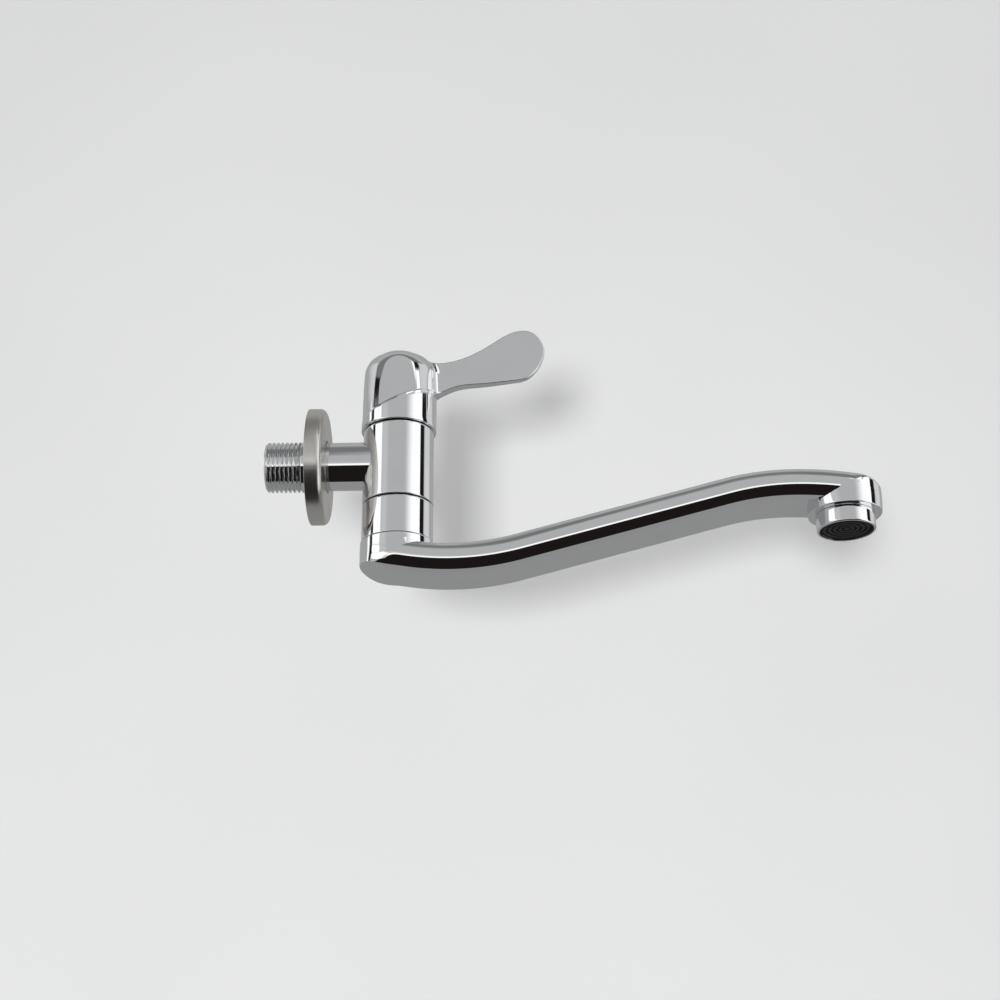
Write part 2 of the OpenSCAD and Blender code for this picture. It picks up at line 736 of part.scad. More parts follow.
// Upright round head with rounded edges, cut above by the sides and crown of the arm
module spout_head() {
    side_y = head_r + hub_out;
    half = concat([[side_y, -2 * head_drop]], crown_side(side_y, arm_shoulder_r));
    translate([spout_reach, 0, head_under_z])
        intersection() {
            rotate_extrude()
                polygon(concat(
                    [[0, -head_drop]],
                    arc([head_r - head_foot_r, head_foot_r - head_drop], head_foot_r, -90, 0),
                    arc([head_r - head_edge_r, spout_h - head_edge_r], head_edge_r, 0, 90),
                    [[0, spout_h]]
                ));
            rotate([0, tip_slope, 0]) translate([-2 * head_r, 0, 0])
                straight_run(4 * head_r) polygon(concat(half, mirrored(half)));
        }
}

module spout() {
    color("silver") on_body()
        difference() {
            union() {
                arm();
                spout_hub();
                spout_head();
            }
            translate([0, 0, cavity_low]) cylinder(h = spout_neck_top - cavity_low + over, r = neck_bore_r);
            waterway();
            translate([spout_reach, 0, head_low - over])
                cylinder(h = aerator_gasket_top + fixed_gap - head_low + over,
                         d = aerator_thread_d + 2 * fixed_gap);
            translate([spout_reach, 0, head_low]) cylinder(h = head_chamber_top - head_low, d = aerator_bore);
        }
}

module swivel_collar() {
    color("silver") on_body()
        difference() {
            chamfered(body_r, collar_low, collar_top);
            translate([0, 0, collar_low - over])
                cylinder(h = lip_low - collar_low + over, r = neck_r + fixed_gap);
            translate([0, 0, recess_z])
                cylinder(h = washer_t + over, r = stem_r + fixed_gap + washer_w + free_gap);
            translate([0, 0, collar_low]) cylinder(h = collar_h + over, r = stem_r + free_gap);
        }
}

module aerator_ring() {
    color("silver") on_outlet()
        difference() {
            union() {
                translate([0, 0, aerator_low])
                    cylinder(h = aerator_h, d1 = aerator_low_d, d2 = aerator_top_d);
                translate([0, 0, aerator_top - over])
                    cylinder(h = aerator_thread_len + over, d = aerator_thread_d);
            }
            translate([0, 0, aerator_low - over])
                cylinder(h = insert_rim_top + fixed_gap - aerator_low + over, d = aerator_mouth_d);
            translate([0, 0, aerator_low])
                cylinder(h = aerator_thread_top - aerator_low + over, d = aerator_bore);
        }
}

module aerator_gasket() {
    color("dimgray") on_outlet()
        ring(aerator_thread_d / 2 - fixed_gap, aerator_bore / 2, aerator_thread_top + fixed_gap,
             aerator_gasket_top);
}

module aerator_insert() {
    ring_step = aerator_mouth_d / 2 / (insert_rings + 1);
    color("black") on_outlet()
        difference() {
            union() {
                translate([0, 0, insert_low]) cylinder(h = insert_rim_h, d = aerator_mouth_d - 2 * fixed_gap);
                translate([0, 0, insert_low])
                    cylinder(h = insert_top - insert_low, d = aerator_bore - 2 * fixed_gap);
            }
            for (i = [1 : insert_rings])
                ring(i * ring_step + ring_step / 4, i * ring_step - ring_step / 4, insert_low - over,
                     insert_low + insert_rim_h / 2);
        }
}

module aerator_screen() {
    color("gray") on_outlet()
        translate([0, 0, screen_z]) cylinder(h = screen_t, d = aerator_bore - 2 * fixed_gap);
}

module wall_flange() {
    flange_r = flange_d / 2;
    hole_r = thread_r + flange_gap;
    inner_edge_r = flange_edge_r - flange_t;
    corner = [flange_r - flange_edge_r, flange_h - flange_edge_r];
    color("lightgray") rotate([0, 90, 0])
        rotate_extrude()
            polygon(concat(
                [[flange_r - flange_t, 0], [flange_r, 0]],
                arc(corner, flange_edge_r, 0, 90),
                [[hole_r, flange_h], [hole_r, flange_h - flange_t]],
                arc(corner, inner_edge_r, 90, 0)
            ));
}

valve_body();
inlet_pipe();
cartridge_body();
cartridge_gasket();
fixed_disc();
base_seal();
retaining_ring();
stem_seal_upper();
stem_seal_lower();
swivel_washer();
lever_handle();
grub_screw();
spindle();
spindle_clip();
slip_washer();
spindle_seal();
moving_disc();
spout();
swivel_collar();
aerator_ring();
aerator_gasket();
aerator_insert();
aerator_screen();
wall_flange();
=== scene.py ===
"""Looks of a wall-mounted lever sink tap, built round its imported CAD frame.

Lengths are millimetres in the classes and metres in Blender. The frame is the part's own: the
origin is on the inlet axis in the wall plane, +X runs along the spout and +Z is up.
"""

from __future__ import annotations

import logging
import math
from dataclasses import dataclass
from enum import Enum
from typing import Sequence

import bpy
import numpy as np
from mathutils import Matrix, Vector

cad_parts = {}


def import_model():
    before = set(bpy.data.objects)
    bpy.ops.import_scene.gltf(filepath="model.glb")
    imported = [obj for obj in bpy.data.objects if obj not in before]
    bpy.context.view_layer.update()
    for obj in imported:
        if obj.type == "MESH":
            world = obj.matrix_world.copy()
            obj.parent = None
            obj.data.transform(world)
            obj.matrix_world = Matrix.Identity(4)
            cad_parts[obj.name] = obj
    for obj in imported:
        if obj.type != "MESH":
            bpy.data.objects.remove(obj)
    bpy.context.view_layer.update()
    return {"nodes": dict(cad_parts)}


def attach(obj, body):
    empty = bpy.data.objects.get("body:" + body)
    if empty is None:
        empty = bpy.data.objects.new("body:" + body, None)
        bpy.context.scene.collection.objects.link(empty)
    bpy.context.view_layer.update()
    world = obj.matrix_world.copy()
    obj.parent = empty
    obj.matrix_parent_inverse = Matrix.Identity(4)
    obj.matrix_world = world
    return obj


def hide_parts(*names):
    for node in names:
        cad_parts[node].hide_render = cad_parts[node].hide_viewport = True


LOG = logging.getLogger("sink_tap")
MM = 0.001
# Upright axis of barrel, handle and spout, in millimetres from the wall
AXIS_X = 36.3

SMOOTH_ANGLE = math.radians(28)
# Distances in metres for merging points
SEAM_MERGE = 2e-6
JOIN_MERGE = 1e-6
SLIVER = 1e-7
# Support points beside a round: distance in millimetres, and room needed in tangent lengths
SUPPORT = 0.4
SUPPORT_ROOM = 3
# Small margins: below the handle's pole in millimetres, for a zero length, inside a fillet
HAIR = 1e-6
TINY = 1e-12
NEARLY_ALL = 0.999
# Broken edges of turned pieces, in millimetres
FINE_EDGE, PLAIN_EDGE, SOFT_EDGE, ROUND_EDGE = 0.15, 0.2, 0.25, 0.3

Triple = tuple[float, float, float]
Pair = tuple[float, float]
Profile = list[Pair]
Array = np.ndarray
Piece = bpy.types.Object
Socket = bpy.types.NodeSocket


class Body(Enum):
    """CAD bodies that pieces ride on."""

    TAP = "tap_body"
    HANDLE = "handle"
    SPOUT = "swivel_spout"
    FLANGE = "flange"


class Axis(Enum):
    """Directions that a turned piece can stand along."""

    UP = (0.0, 0.0, 1.0)
    OUT = (1.0, 0.0, 0.0)


# Modelling helpers


def deselect() -> None:
    """Leaves edit mode and deselects everything."""
    if bpy.context.object is not None and bpy.context.object.mode != "OBJECT":
        bpy.ops.object.mode_set(mode="OBJECT")
    bpy.ops.object.select_all(action="DESELECT")


def pick(piece: Piece) -> None:
    """Makes a piece the only selected and active object.

    Args:
        piece: The object to select.
    """
    deselect()
    piece.select_set(True)
    bpy.context.view_layer.objects.active = piece


def named(name: str) -> Piece:
    """Names the object that an operator has just added.

    Args:
        name: Name for the object and its mesh.

    Returns:
        The active object.
    """
    piece = bpy.context.object
    piece.name = name
    piece.data.name = name
    return piece


def close_and_smooth(piece: Piece, merge: float = SEAM_MERGE) -> None:
    """Merges the seams of a form, turns its faces outwards and shades it.

    Args:
        piece: The mesh object.
        merge: Distance in metres below which points become one.
    """
    pick(piece)
    bpy.ops.object.mode_set(mode="EDIT")
    bpy.ops.mesh.select_all(action="SELECT")
    bpy.ops.mesh.remove_doubles(threshold=merge)
    bpy.ops.mesh.dissolve_degenerate(threshold=SLIVER)
    bpy.ops.mesh.normals_make_consistent(inside=False)
    bpy.ops.object.mode_set(mode="OBJECT")
    bpy.ops.object.shade_smooth_by_angle(angle=SMOOTH_ANGLE)


def form_grid(name: str, places: Array) -> Piece:
    """Shapes a grid primitive so that its points lie on the given rows and columns.

    Args:
        name: Name of the new piece.
        places: Points in millimetres, as rows by columns by three.

    Returns:
        The closed and smooth piece.
    """
    rows, columns = places.shape[:2]
    deselect()
    bpy.ops.mesh.primitive_grid_add(x_subdivisions=columns - 1, y_subdivisions=rows - 1, size=2)
    piece = named(name)
    flat = np.zeros(rows * columns * 3, np.float32)
    piece.data.vertices.foreach_get("co", flat)
    grid = flat.reshape(-1, 3).astype(float)
    column = np.rint((grid[:, 0] + 1) / 2 * (columns - 1)).astype(int)
    row = np.rint((grid[:, 1] + 1) / 2 * (rows - 1)).astype(int)
    placed = places[row, column] * MM
    piece.data.vertices.foreach_set("co", placed.astype(np.float32).ravel())
    piece.data.update()
    close_and_smooth(piece)
    return piece


def rounded(corners: Sequence[Triple], steps: int = 5) -> Profile:
    """Rounds the corners of an open profile and adds a support point beside each round.

    Args:
        corners: Radius from the axis, height and corner radius of each point.
        steps: Number of chords in each round.

    Returns:
        The profile's points.
    """
    points: Profile = []
    last = len(corners) - 1
    for i, (across, up, radius) in enumerate(corners):
        here = np.array((across, up))
        if radius <= 0 or i in (0, last):
            points.append((across, up))
            continue
        before = np.array(corners[i - 1][:2]) - here
        after = np.array(corners[i + 1][:2]) - here
        before_len, after_len = np.linalg.norm(before), np.linalg.norm(after)
        before, after = before / before_len, after / after_len
        opening = math.acos(float(np.clip(before @ after, -1, 1)))
        reach = radius / math.tan(opening / 2)
        middle = before + after
        centre = here + middle / np.linalg.norm(middle) * radius / math.sin(opening / 2)
        start, end = here + before * reach, here + after * reach
        if before_len > SUPPORT_ROOM * reach:
            points.append(tuple(start + before * min(reach, SUPPORT)))
        from_a = math.atan2(*(start - centre)[::-1])
        to_a = math.atan2(*(end - centre)[::-1])
        sweep = (to_a - from_a + math.pi) % (2 * math.pi) - math.pi
        for k in range(steps + 1):
            a = from_a + sweep * k / steps
            points.append((centre[0] + radius * math.cos(a), centre[1] + radius * math.sin(a)))
        if after_len > SUPPORT_ROOM * reach:
            points.append(tuple(end + after * min(reach, SUPPORT)))
    return points


def turn(name: str, profile: Profile, foot: Triple, axis: Axis, steps: int = 144) -> Piece:
    """Turns a profile about an axis, as on a lathe.

    Args:
        name: Name of the new piece.
        profile: Radius from the axis and height along it, in millimetres.
        foot: The point on the axis from which heights are measured.
        axis: Direction of the axis.
        steps: Number of steps in the full turn.

    Returns:
        The closed and smooth piece.
    """
    along = Vector(axis.value)
    side = Vector((0.0, -1.0, 0.0))
    base = Vector(foot) * MM
    points = [base + side * (r * MM) + along * (h * MM) for r, h in profile]
    deselect()
    bpy.ops.mesh.primitive_plane_add(size=MM, location=(0, 0, 0))
    piece = named(name)
    bpy.ops.object.mode_set(mode="EDIT")
    bpy.ops.mesh.select_all(action="SELECT")
    bpy.ops.mesh.merge(type="CENTER")
    bpy.ops.transform.translate(value=points[0])
    for before, after in zip(points, points[1:]):
        bpy.ops.mesh.extrude_region_move(TRANSFORM_OT_translate={"value": after - before})
    bpy.ops.mesh.select_all(action="SELECT")
    bpy.ops.mesh.spin(steps=steps, angle=2 * math.pi, center=base, axis=along, use_auto_merge=True)
    bpy.ops.object.mode_set(mode="OBJECT")
    close_and_smooth(piece)
    return piece


def unite(piece: Piece, others: Sequence[Piece]) -> None:
    """Unites other forms with a piece into one closed skin.

    Args:
        piece: The piece that stays.
        others: Forms that are merged into it and deleted.
    """
    for other in others:
        pick(piece)
        bpy.ops.object.modifier_add(type="BOOLEAN")
        modifier = piece.modifiers[-1]
        modifier.operation = "UNION"
        modifier.solver = "EXACT"
        modifier.object = other
        bpy.ops.object.modifier_apply(modifier=modifier.name)
        bpy.data.objects.remove(other)
    close_and_smooth(piece, merge=JOIN_MERGE)


def smoothstep(low: float, high: float, value: Array) -> Array:
    """Smooth ramp from 0 at low to 1 at high."""
    t = np.clip((np.asarray(value, float) - low) / (high - low), 0, 1)
    return t * t * (3 - 2 * t)


def blend(plain: Array | float, other: Array | float, share: Array) -> Array:
    """Mixes two values by the share of the second."""
    return plain * (1 - share) + other * share


def bezier(points: Sequence[Pair], steps: int) -> Array:
    """Points of a cubic curve, both ends included.

    Args:
        points: The four control points.
        steps: Number of chords.

    Returns:
        An array of points.
    """
    t = np.linspace(0, 1, steps + 1)[:, None]
    p0, p1, p2, p3 = (np.array(p, float) for p in points)
    s = 1 - t
    return s**3 * p0 + 3 * s * s * t * p1 + 3 * s * t * t * p2 + t**3 * p3


# Finishes

PLAIN_DETAIL = 2.0
SMEAR_DETAIL = 3.0
SMEAR_LEVELS = (0.45, 0.75)
SCRATCH_LEVELS = (0.55, 0.8)
SPOT_LEVELS = (0.05, 0.16)
SMEAR_HEIGHT = 0.4
SMEAR_COLOUR = 0.6
SMEAR_GLOSS = 0.55
SCRATCH_GLOSS = 0.45
BUMP_DEPTH = 0.00005


class Web:
    """A node tree with short calls for its arithmetic."""

    def __init__(self, tree: bpy.types.NodeTree) -> None:
        """Wraps a node tree."""
        self.tree = tree

    def node(self, kind: str, **settings: object) -> bpy.types.Node:
        """Adds a node and sets its properties.

        Args:
            kind: Blender's node type.
            settings: Properties of the node.

        Returns:
            The new node.
        """
        made = self.tree.nodes.new(kind)
        for key, value in settings.items():
            setattr(made, key, value)
        return made

    def link(self, source: Socket, target: Socket) -> None:
        """Links two sockets."""
        self.tree.links.new(source, target)

    def feed(self, socket: Socket, value: object) -> None:
        """Links a socket to an input, or writes a plain value into it.

        Args:
            socket: The socket to fill.
            value: Another socket, or a plain value.
        """
        if isinstance(value, Socket):
            self.link(value, socket)
        else:
            socket.default_value = value

    def math(self, operation: str, *values: object, clamp: bool = False) -> Socket:
        """One arithmetic step on sockets or numbers.

        Args:
            operation: The Math node's operation.
            values: Inputs, in order.
            clamp: Whether the result is kept between 0 and 1.

        Returns:
            The result's socket.
        """
        made = self.node("ShaderNodeMath", operation=operation, use_clamp=clamp)
        for socket, value in zip(made.inputs, values):
            self.feed(socket, value)
        return made.outputs[0]

    def ramp(
        self, value: object, low: float, high: float, start: float = 0.0, end: float = 1.0
    ) -> Socket:
        """A smooth step between two levels.

        Args:
            value: The input.
            low: Input at which the step starts.
            high: Input at which it ends.
            start: Output at the start.
            end: Output at the end.

        Returns:
            The result's socket.
        """
        made = self.node("ShaderNodeMapRange", interpolation_type="SMOOTHSTEP")
        for index, number in enumerate((value, low, high, start, end)):
            self.feed(made.inputs[index], number)
        return made.outputs[0]

    def band(self, value: object, low: float, high: float, soft: float) -> Socket:
        """1 between two levels and 0 outside them, with soft edges.

        Args:
            value: The input.
            low: Lower level.
            high: Upper level.
            soft: Width of each edge.

        Returns:
            The result's socket.
        """
        rise = self.ramp(value, low - soft / 2, low + soft / 2)
        fall = self.ramp(value, high - soft / 2, high + soft / 2, 1.0, 0.0)
        return self.math("MULTIPLY", rise, fall)

    def noise(self, place: Socket, scale: object, detail: float) -> Socket:
        """A noise texture's value.

        Args:
            place: Coordinates.
            scale: Scale of the pattern.
            detail: Number of finer layers.

        Returns:
            The value's socket.
        """
        made = self.node("ShaderNodeTexNoise")
        for label, value in (("Vector", place), ("Scale", scale), ("Detail", detail)):
            self.feed(made.inputs[label], value)
        return made.outputs[0]

    def mix(self, factor: object, a: object, b: object) -> Socket:
        """Mixes two colours.

        Args:
            factor: Share of the second colour.
            a: First colour.
            b: Second colour.

        Returns:
            The mixed colour's socket.
        """
        made = self.node("ShaderNodeMix", data_type="RGBA")
        self.feed(made.inputs[0], factor)
        self.feed(made.inputs[6], a)
        self.feed(made.inputs[7], b)
        return made.outputs[2]


def handling_group() -> bpy.types.NodeTree:
    """Shared marks of use: broad smears, fine scratches and small spots.

    Returns:
        A node group with Smear, Scratch, Spot and Height outputs.
    """
    tree = bpy.data.node_groups.new("handling_marks", "ShaderNodeTree")
    face = tree.interface
    for label in ("Smear Scale", "Scratch Scale", "Spot Scale"):
        face.new_socket(name=label, in_out="INPUT", socket_type="NodeSocketFloat")
    face.new_socket(name="Stretch", in_out="INPUT", socket_type="NodeSocketVector")
    for label in ("Smear", "Scratch", "Spot", "Height"):
        face.new_socket(name=label, in_out="OUTPUT", socket_type="NodeSocketFloat")
    web = Web(tree)
    given = web.node("NodeGroupInput")
    result = web.node("NodeGroupOutput")
    place = web.node("ShaderNodeTexCoord").outputs["Object"]

    broad = web.noise(place, given.outputs["Smear Scale"], SMEAR_DETAIL)
    smear = web.ramp(broad, *SMEAR_LEVELS)
    stretched = web.node("ShaderNodeVectorMath", operation="MULTIPLY")
    web.link(place, stretched.inputs[0])
    web.link(given.outputs["Stretch"], stretched.inputs[1])
    fine = web.noise(stretched.outputs[0], given.outputs["Scratch Scale"], PLAIN_DETAIL)
    scratch = web.ramp(fine, *SCRATCH_LEVELS)
    cells = web.node("ShaderNodeTexVoronoi")
    web.link(place, cells.inputs["Vector"])
    web.link(given.outputs["Spot Scale"], cells.inputs["Scale"])
    spot = web.ramp(cells.outputs["Distance"], *SPOT_LEVELS, 1.0, 0.0)
    height = web.math("ADD", scratch, web.math("MULTIPLY", smear, SMEAR_HEIGHT))
    for socket, value in zip(result.inputs, (smear, scratch, spot, height)):
        web.link(value, socket)
    return tree


@dataclass(frozen=True)
class Finish:
    """A finish made of one colour pair, gloss and shared marks of use."""

    name: str
    colour: Triple
    worn: Triple
    rough: float
    rough_worn: float
    metallic: float = 0.0
    bump: float = 0.0
    smear_scale: float = 60.0
    scratch_scale: float = 900.0
    spot_scale: float = 350.0
    spots: float = 0.0
    stretch: Triple = (1.0, 1.0, 1.0)
    specular: float = 0.5

    def make(self, marks: bpy.types.NodeTree) -> bpy.types.Material:
        """Builds the material.

        Args:
            marks: The shared group of marks of use.

        Returns:
            The node material.
        """
        material = bpy.data.materials.new(self.name)
        material.use_nodes = True
        web = Web(material.node_tree)
        web.tree.nodes.clear()
        output = web.node("ShaderNodeOutputMaterial")
        shader = web.node("ShaderNodeBsdfPrincipled")
        web.link(shader.outputs[0], output.inputs["Surface"])
        shader.inputs["Metallic"].default_value = self.metallic
        shader.inputs["Specular IOR Level"].default_value = self.specular
        group = web.node("ShaderNodeGroup", node_tree=marks)
        for label, value in (
            ("Smear Scale", self.smear_scale), ("Scratch Scale", self.scratch_scale),
            ("Spot Scale", self.spot_scale), ("Stretch", self.stretch),
        ):
            group.inputs[label].default_value = value

        def smears_and(mark: str, smears: float, share: float) -> Socket:
            """Weighted sum of the smears and another mark, at most 1.

            Args:
                mark: Name of the other mark.
                smears: Weight of the smears.
                share: Weight of the other mark.

            Returns:
                The sum's socket.
            """
            first = web.math("MULTIPLY", group.outputs["Smear"], smears)
            second = web.math("MULTIPLY", group.outputs[mark], share)
            return web.math("ADD", first, second, clamp=True)

        worn = smears_and("Spot", SMEAR_COLOUR, self.spots)
        web.link(web.mix(worn, (*self.colour, 1), (*self.worn, 1)), shader.inputs["Base Color"])
        wear = smears_and("Scratch", SMEAR_GLOSS, SCRATCH_GLOSS)
        rough = web.math("MULTIPLY_ADD", wear, self.rough_worn - self.rough, self.rough)
        web.link(rough, shader.inputs["Roughness"])
        if self.bump > 0:
            bump = web.node("ShaderNodeBump")
            bump.inputs["Strength"].default_value = self.bump
            bump.inputs["Distance"].default_value = BUMP_DEPTH
            web.link(group.outputs["Height"], bump.inputs["Height"])
            web.link(bump.outputs[0], shader.inputs["Normal"])
        return material


CHROME = Finish(
    "polished_chrome", (0.80, 0.81, 0.82), (0.76, 0.77, 0.78), 0.035, 0.085, metallic=1.0
)
BRASS = Finish(
    "machined_brass", (0.72, 0.54, 0.26), (0.58, 0.42, 0.19), 0.24, 0.42, metallic=1.0, bump=0.2
)
CERAMIC = Finish("lapped_ceramic", (0.88, 0.88, 0.86), (0.80, 0.80, 0.77), 0.22, 0.4)
RUBBER = Finish("seal_rubber", (0.025, 0.025, 0.025), (0.06, 0.06, 0.058), 0.55, 0.75, bump=0.3)
SPRING = Finish(
    "spring_steel", (0.48, 0.48, 0.49), (0.34, 0.34, 0.35), 0.28, 0.45, metallic=1.0, bump=0.15
)
DARK_NYLON = Finish("dark_nylon", (0.03, 0.03, 0.03), (0.06, 0.06, 0.06), 0.4, 0.6)
PALE_NYLON = Finish("pale_nylon", (0.80, 0.79, 0.73), (0.70, 0.68, 0.60), 0.4, 0.55)
BLACK_PLASTIC = Finish(
    "black_plastic", (0.008, 0.008, 0.009), (0.02, 0.02, 0.02), 0.42, 0.6, bump=0.15, specular=0.16
)
SATIN_STEEL = Finish(
    "satin_steel", (0.70, 0.68, 0.645), (0.60, 0.58, 0.545), 0.30, 0.42, metallic=1.0, bump=0.25,
    smear_scale=45.0, spot_scale=260.0, spots=0.35, stretch=(0.08, 1.0, 1.0),
)

NODE_FINISHES: dict[Finish, tuple[str, ...]] = {
    BRASS: ("cartridge_body", "spindle"),
    CERAMIC: ("fixed_disc", "moving_disc"),
    RUBBER: (
        "cartridge_gasket", "base_seal", "stem_seal_upper", "stem_seal_lower", "spindle_seal",
        "aerator_gasket",
    ),
    SPRING: ("retaining_ring", "spindle_clip", "grub_screw", "aerator_screen"),
    DARK_NYLON: ("swivel_washer",),
    PALE_NYLON: ("slip_washer",),
}


class Paint:
    """Makes each finish once and lays it on pieces."""

    def __init__(self) -> None:
        """Builds the shared group of marks."""
        self.marks = handling_group()
        self.made: dict[str, bpy.types.Material] = {}

    def lay(self, piece: Piece, finish: Finish) -> None:
        """Gives a piece one finish all over.

        Args:
            piece: The piece.
            finish: Its finish.
        """
        if finish.name not in self.made:
            self.made[finish.name] = finish.make(self.marks)
        piece.data.materials.clear()
        piece.data.materials.append(self.made[finish.name])

    def settle(self, piece: Piece, finish: Finish, body: Body, *nodes: str) -> None:
        """Finishes a piece and puts it on its body in place of its CAD nodes.

        Args:
            piece: The formed piece.
            finish: Its finish, whose name its material takes.
            body: The CAD body it moves with.
            nodes: CAD nodes that it stands for.
        """
        self.lay(piece, finish)
        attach(piece, body.value)
        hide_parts(*nodes)
        LOG.info("%s on %s: %d faces", piece.name, body.value, len(piece.data.polygons))


# Sub-assemblies


@dataclass
class ValveBarrel:
    """Upright barrel with its stem, and the collar that turns below it."""

    barrel_r: float = 14.6
    barrel_top: float = 14.5
    barrel_low: float = -18.2
    chamber_r: float = 8.5
    chamber_floor: float = -9.0
    stem_r: float = 9.0
    stem_low: float = -39.43
    bore_r: float = 4.3
    collar_top: float = -18.75
    collar_low: float = -34.8
    collar_bore: float = 12.12
    lip_low: float = -22.43
    lip_top: float = -19.63
    lip_bore: float = 9.3
    recess_r: float = 12.33
    ring_low: float = -23.89
    ring_top: float = -22.43
    ring_groove: float = 8.0
    edge: float = 0.45
    recess_edge: float = 0.1

    def build(self, paint: Paint) -> None:
        """Turns barrel and collar and puts them in place.

        Args:
            paint: The finishes.
        """
        foot = (AXIS_X, 0.0, 0.0)
        barrel = turn("valve_barrel", rounded([
            (self.chamber_r, self.chamber_floor, 0),
            (self.chamber_r, self.barrel_top, FINE_EDGE),
            (self.barrel_r, self.barrel_top, self.edge),
            (self.barrel_r, self.barrel_low, self.edge),
            (self.stem_r, self.barrel_low, 0), (self.stem_r, self.ring_top, 0),
            (self.ring_groove, self.ring_top, 0), (self.ring_groove, self.ring_low, 0),
            (self.stem_r, self.ring_low, 0), (self.stem_r, self.stem_low, PLAIN_EDGE),
            (self.bore_r, self.stem_low, PLAIN_EDGE), (self.bore_r, self.chamber_floor, 0),
            (self.chamber_r, self.chamber_floor, 0),
        ]), foot, Axis.UP)
        paint.settle(barrel, CHROME, Body.TAP, "valve_body")
        collar = turn("swivel_collar_ring", rounded([
            (self.collar_bore, self.lip_low, 0), (self.collar_bore, self.collar_low, FINE_EDGE),
            (self.barrel_r, self.collar_low, SOFT_EDGE),
            (self.barrel_r, self.collar_top, self.edge),
            (self.recess_r, self.collar_top, self.recess_edge), (self.recess_r, self.lip_top, 0),
            (self.lip_bore, self.lip_top, 0), (self.lip_bore, self.lip_low, 0),
            (self.collar_bore, self.lip_low, 0),
        ]), foot, Axis.UP)
        paint.settle(collar, CHROME, Body.SPOUT, "swivel_collar")


@dataclass
class InletPipe:
    """Horizontal pipe with a helical thread on its wall end."""

    pipe_r: float = 10.0
    bore_r: float = 7.0
    thread_r: float = 10.4775
    thread_len: float = 18.0
    pitch: float = 1.814
    depth: float = 1.05
    flank: Pair = (0.08, 0.92)
    runout: float = 2.6
    lead: float = 0.9
    lead_depth: float = 0.8
    bore_edge: float = 0.4
    pipe_end: float = 25.96
    around: int = 96
    per_pitch: int = 14

    def thread_radius(self, along: Array, turned: Array) -> Array:
        """Outer radius of the thread.

        Args:
            along: Distance from the thread's free end.
            turned: Angle round the axis, in turns.

        Returns:
            The radius at each point.
        """
        phase = np.abs(((along / self.pitch - turned) % 1.0) * 2 - 1)
        groove = smoothstep(*self.flank, phase)
        end = self.thread_len - self.runout
        fade = smoothstep(0.0, self.pitch, along) * (1 - smoothstep(end - self.pitch, end, along))
        start = smoothstep(0.0, self.lead, along)
        return self.thread_r - self.depth * groove * fade - self.lead_depth * (1 - start)

    def build(self, paint: Paint) -> None:
        """Forms the threaded pipe and puts it in place.

        Args:
            paint: The finishes.
        """
        rows = int(self.thread_len / self.pitch * self.per_pitch)
        turned = np.linspace(0, 1, self.around + 1)
        angle = turned * 2 * np.pi

        def ring(x: float, radius: Array | float) -> Array:
            """One ring of points round the pipe's axis."""
            r = np.broadcast_to(radius, angle.shape)
            return np.stack((np.full_like(angle, x), -r * np.cos(angle), r * np.sin(angle)), axis=1)

        wall, edge = -self.thread_len, self.bore_edge
        rings = [ring(self.pipe_end, self.bore_r), ring(wall + edge, self.bore_r)]
        rings.append(ring(wall, self.bore_r + edge))
        for s in np.linspace(0, self.thread_len, rows + 1):
            rings.append(ring(wall + s, self.thread_radius(np.full_like(turned, s), turned)))
        # The step from the thread down to the plain pipe, and the pipe to its end in the barrel
        step = self.thread_r - self.pipe_r
        for x, radius in (
            (0.15, self.thread_r - 0.25 * step), (0.2, self.pipe_r + 0.1), (0.3, self.pipe_r),
            (0.8, self.pipe_r), (self.pipe_end - 0.5, self.pipe_r), (self.pipe_end, self.pipe_r),
            (self.pipe_end, self.bore_r),
        ):
            rings.append(ring(x, radius))
        pipe = form_grid("inlet_pipe_thread", np.array(rings))
        paint.settle(pipe, CHROME, Body.TAP, "inlet_pipe")


@dataclass
class WallFlange:
    """Pressed steel cup that covers the hole in the wall."""

    outer_r: float = 24.1
    height: float = 7.0
    sheet: float = 0.8
    edge_r: float = 2.4
    hole_r: float = 10.93
    seam_h: float = 0.3
    rim_in: float = 0.12
    hole_out: float = 0.35
    round_steps: int = 7
    around: int = 160

    def build(self, paint: Paint) -> None:
        """Turns the cup and puts it in place.

        Args:
            paint: The finishes.
        """
        inner_r, under = self.outer_r - self.sheet, self.height - self.sheet
        profile = rounded([
            (inner_r, self.seam_h, 0), (inner_r, 0.0, self.rim_in),
            (self.outer_r, 0.0, ROUND_EDGE), (self.outer_r, self.height, self.edge_r),
            (self.hole_r, self.height, self.hole_out), (self.hole_r, under, PLAIN_EDGE),
            (inner_r, under, self.edge_r - self.sheet), (inner_r, self.seam_h, 0),
        ], self.round_steps)
        cup = turn("wall_flange_cup", profile, (0.0, 0.0, 0.0), Axis.OUT, self.around)
        paint.settle(cup, SATIN_STEEL, Body.FLANGE, "wall_flange")


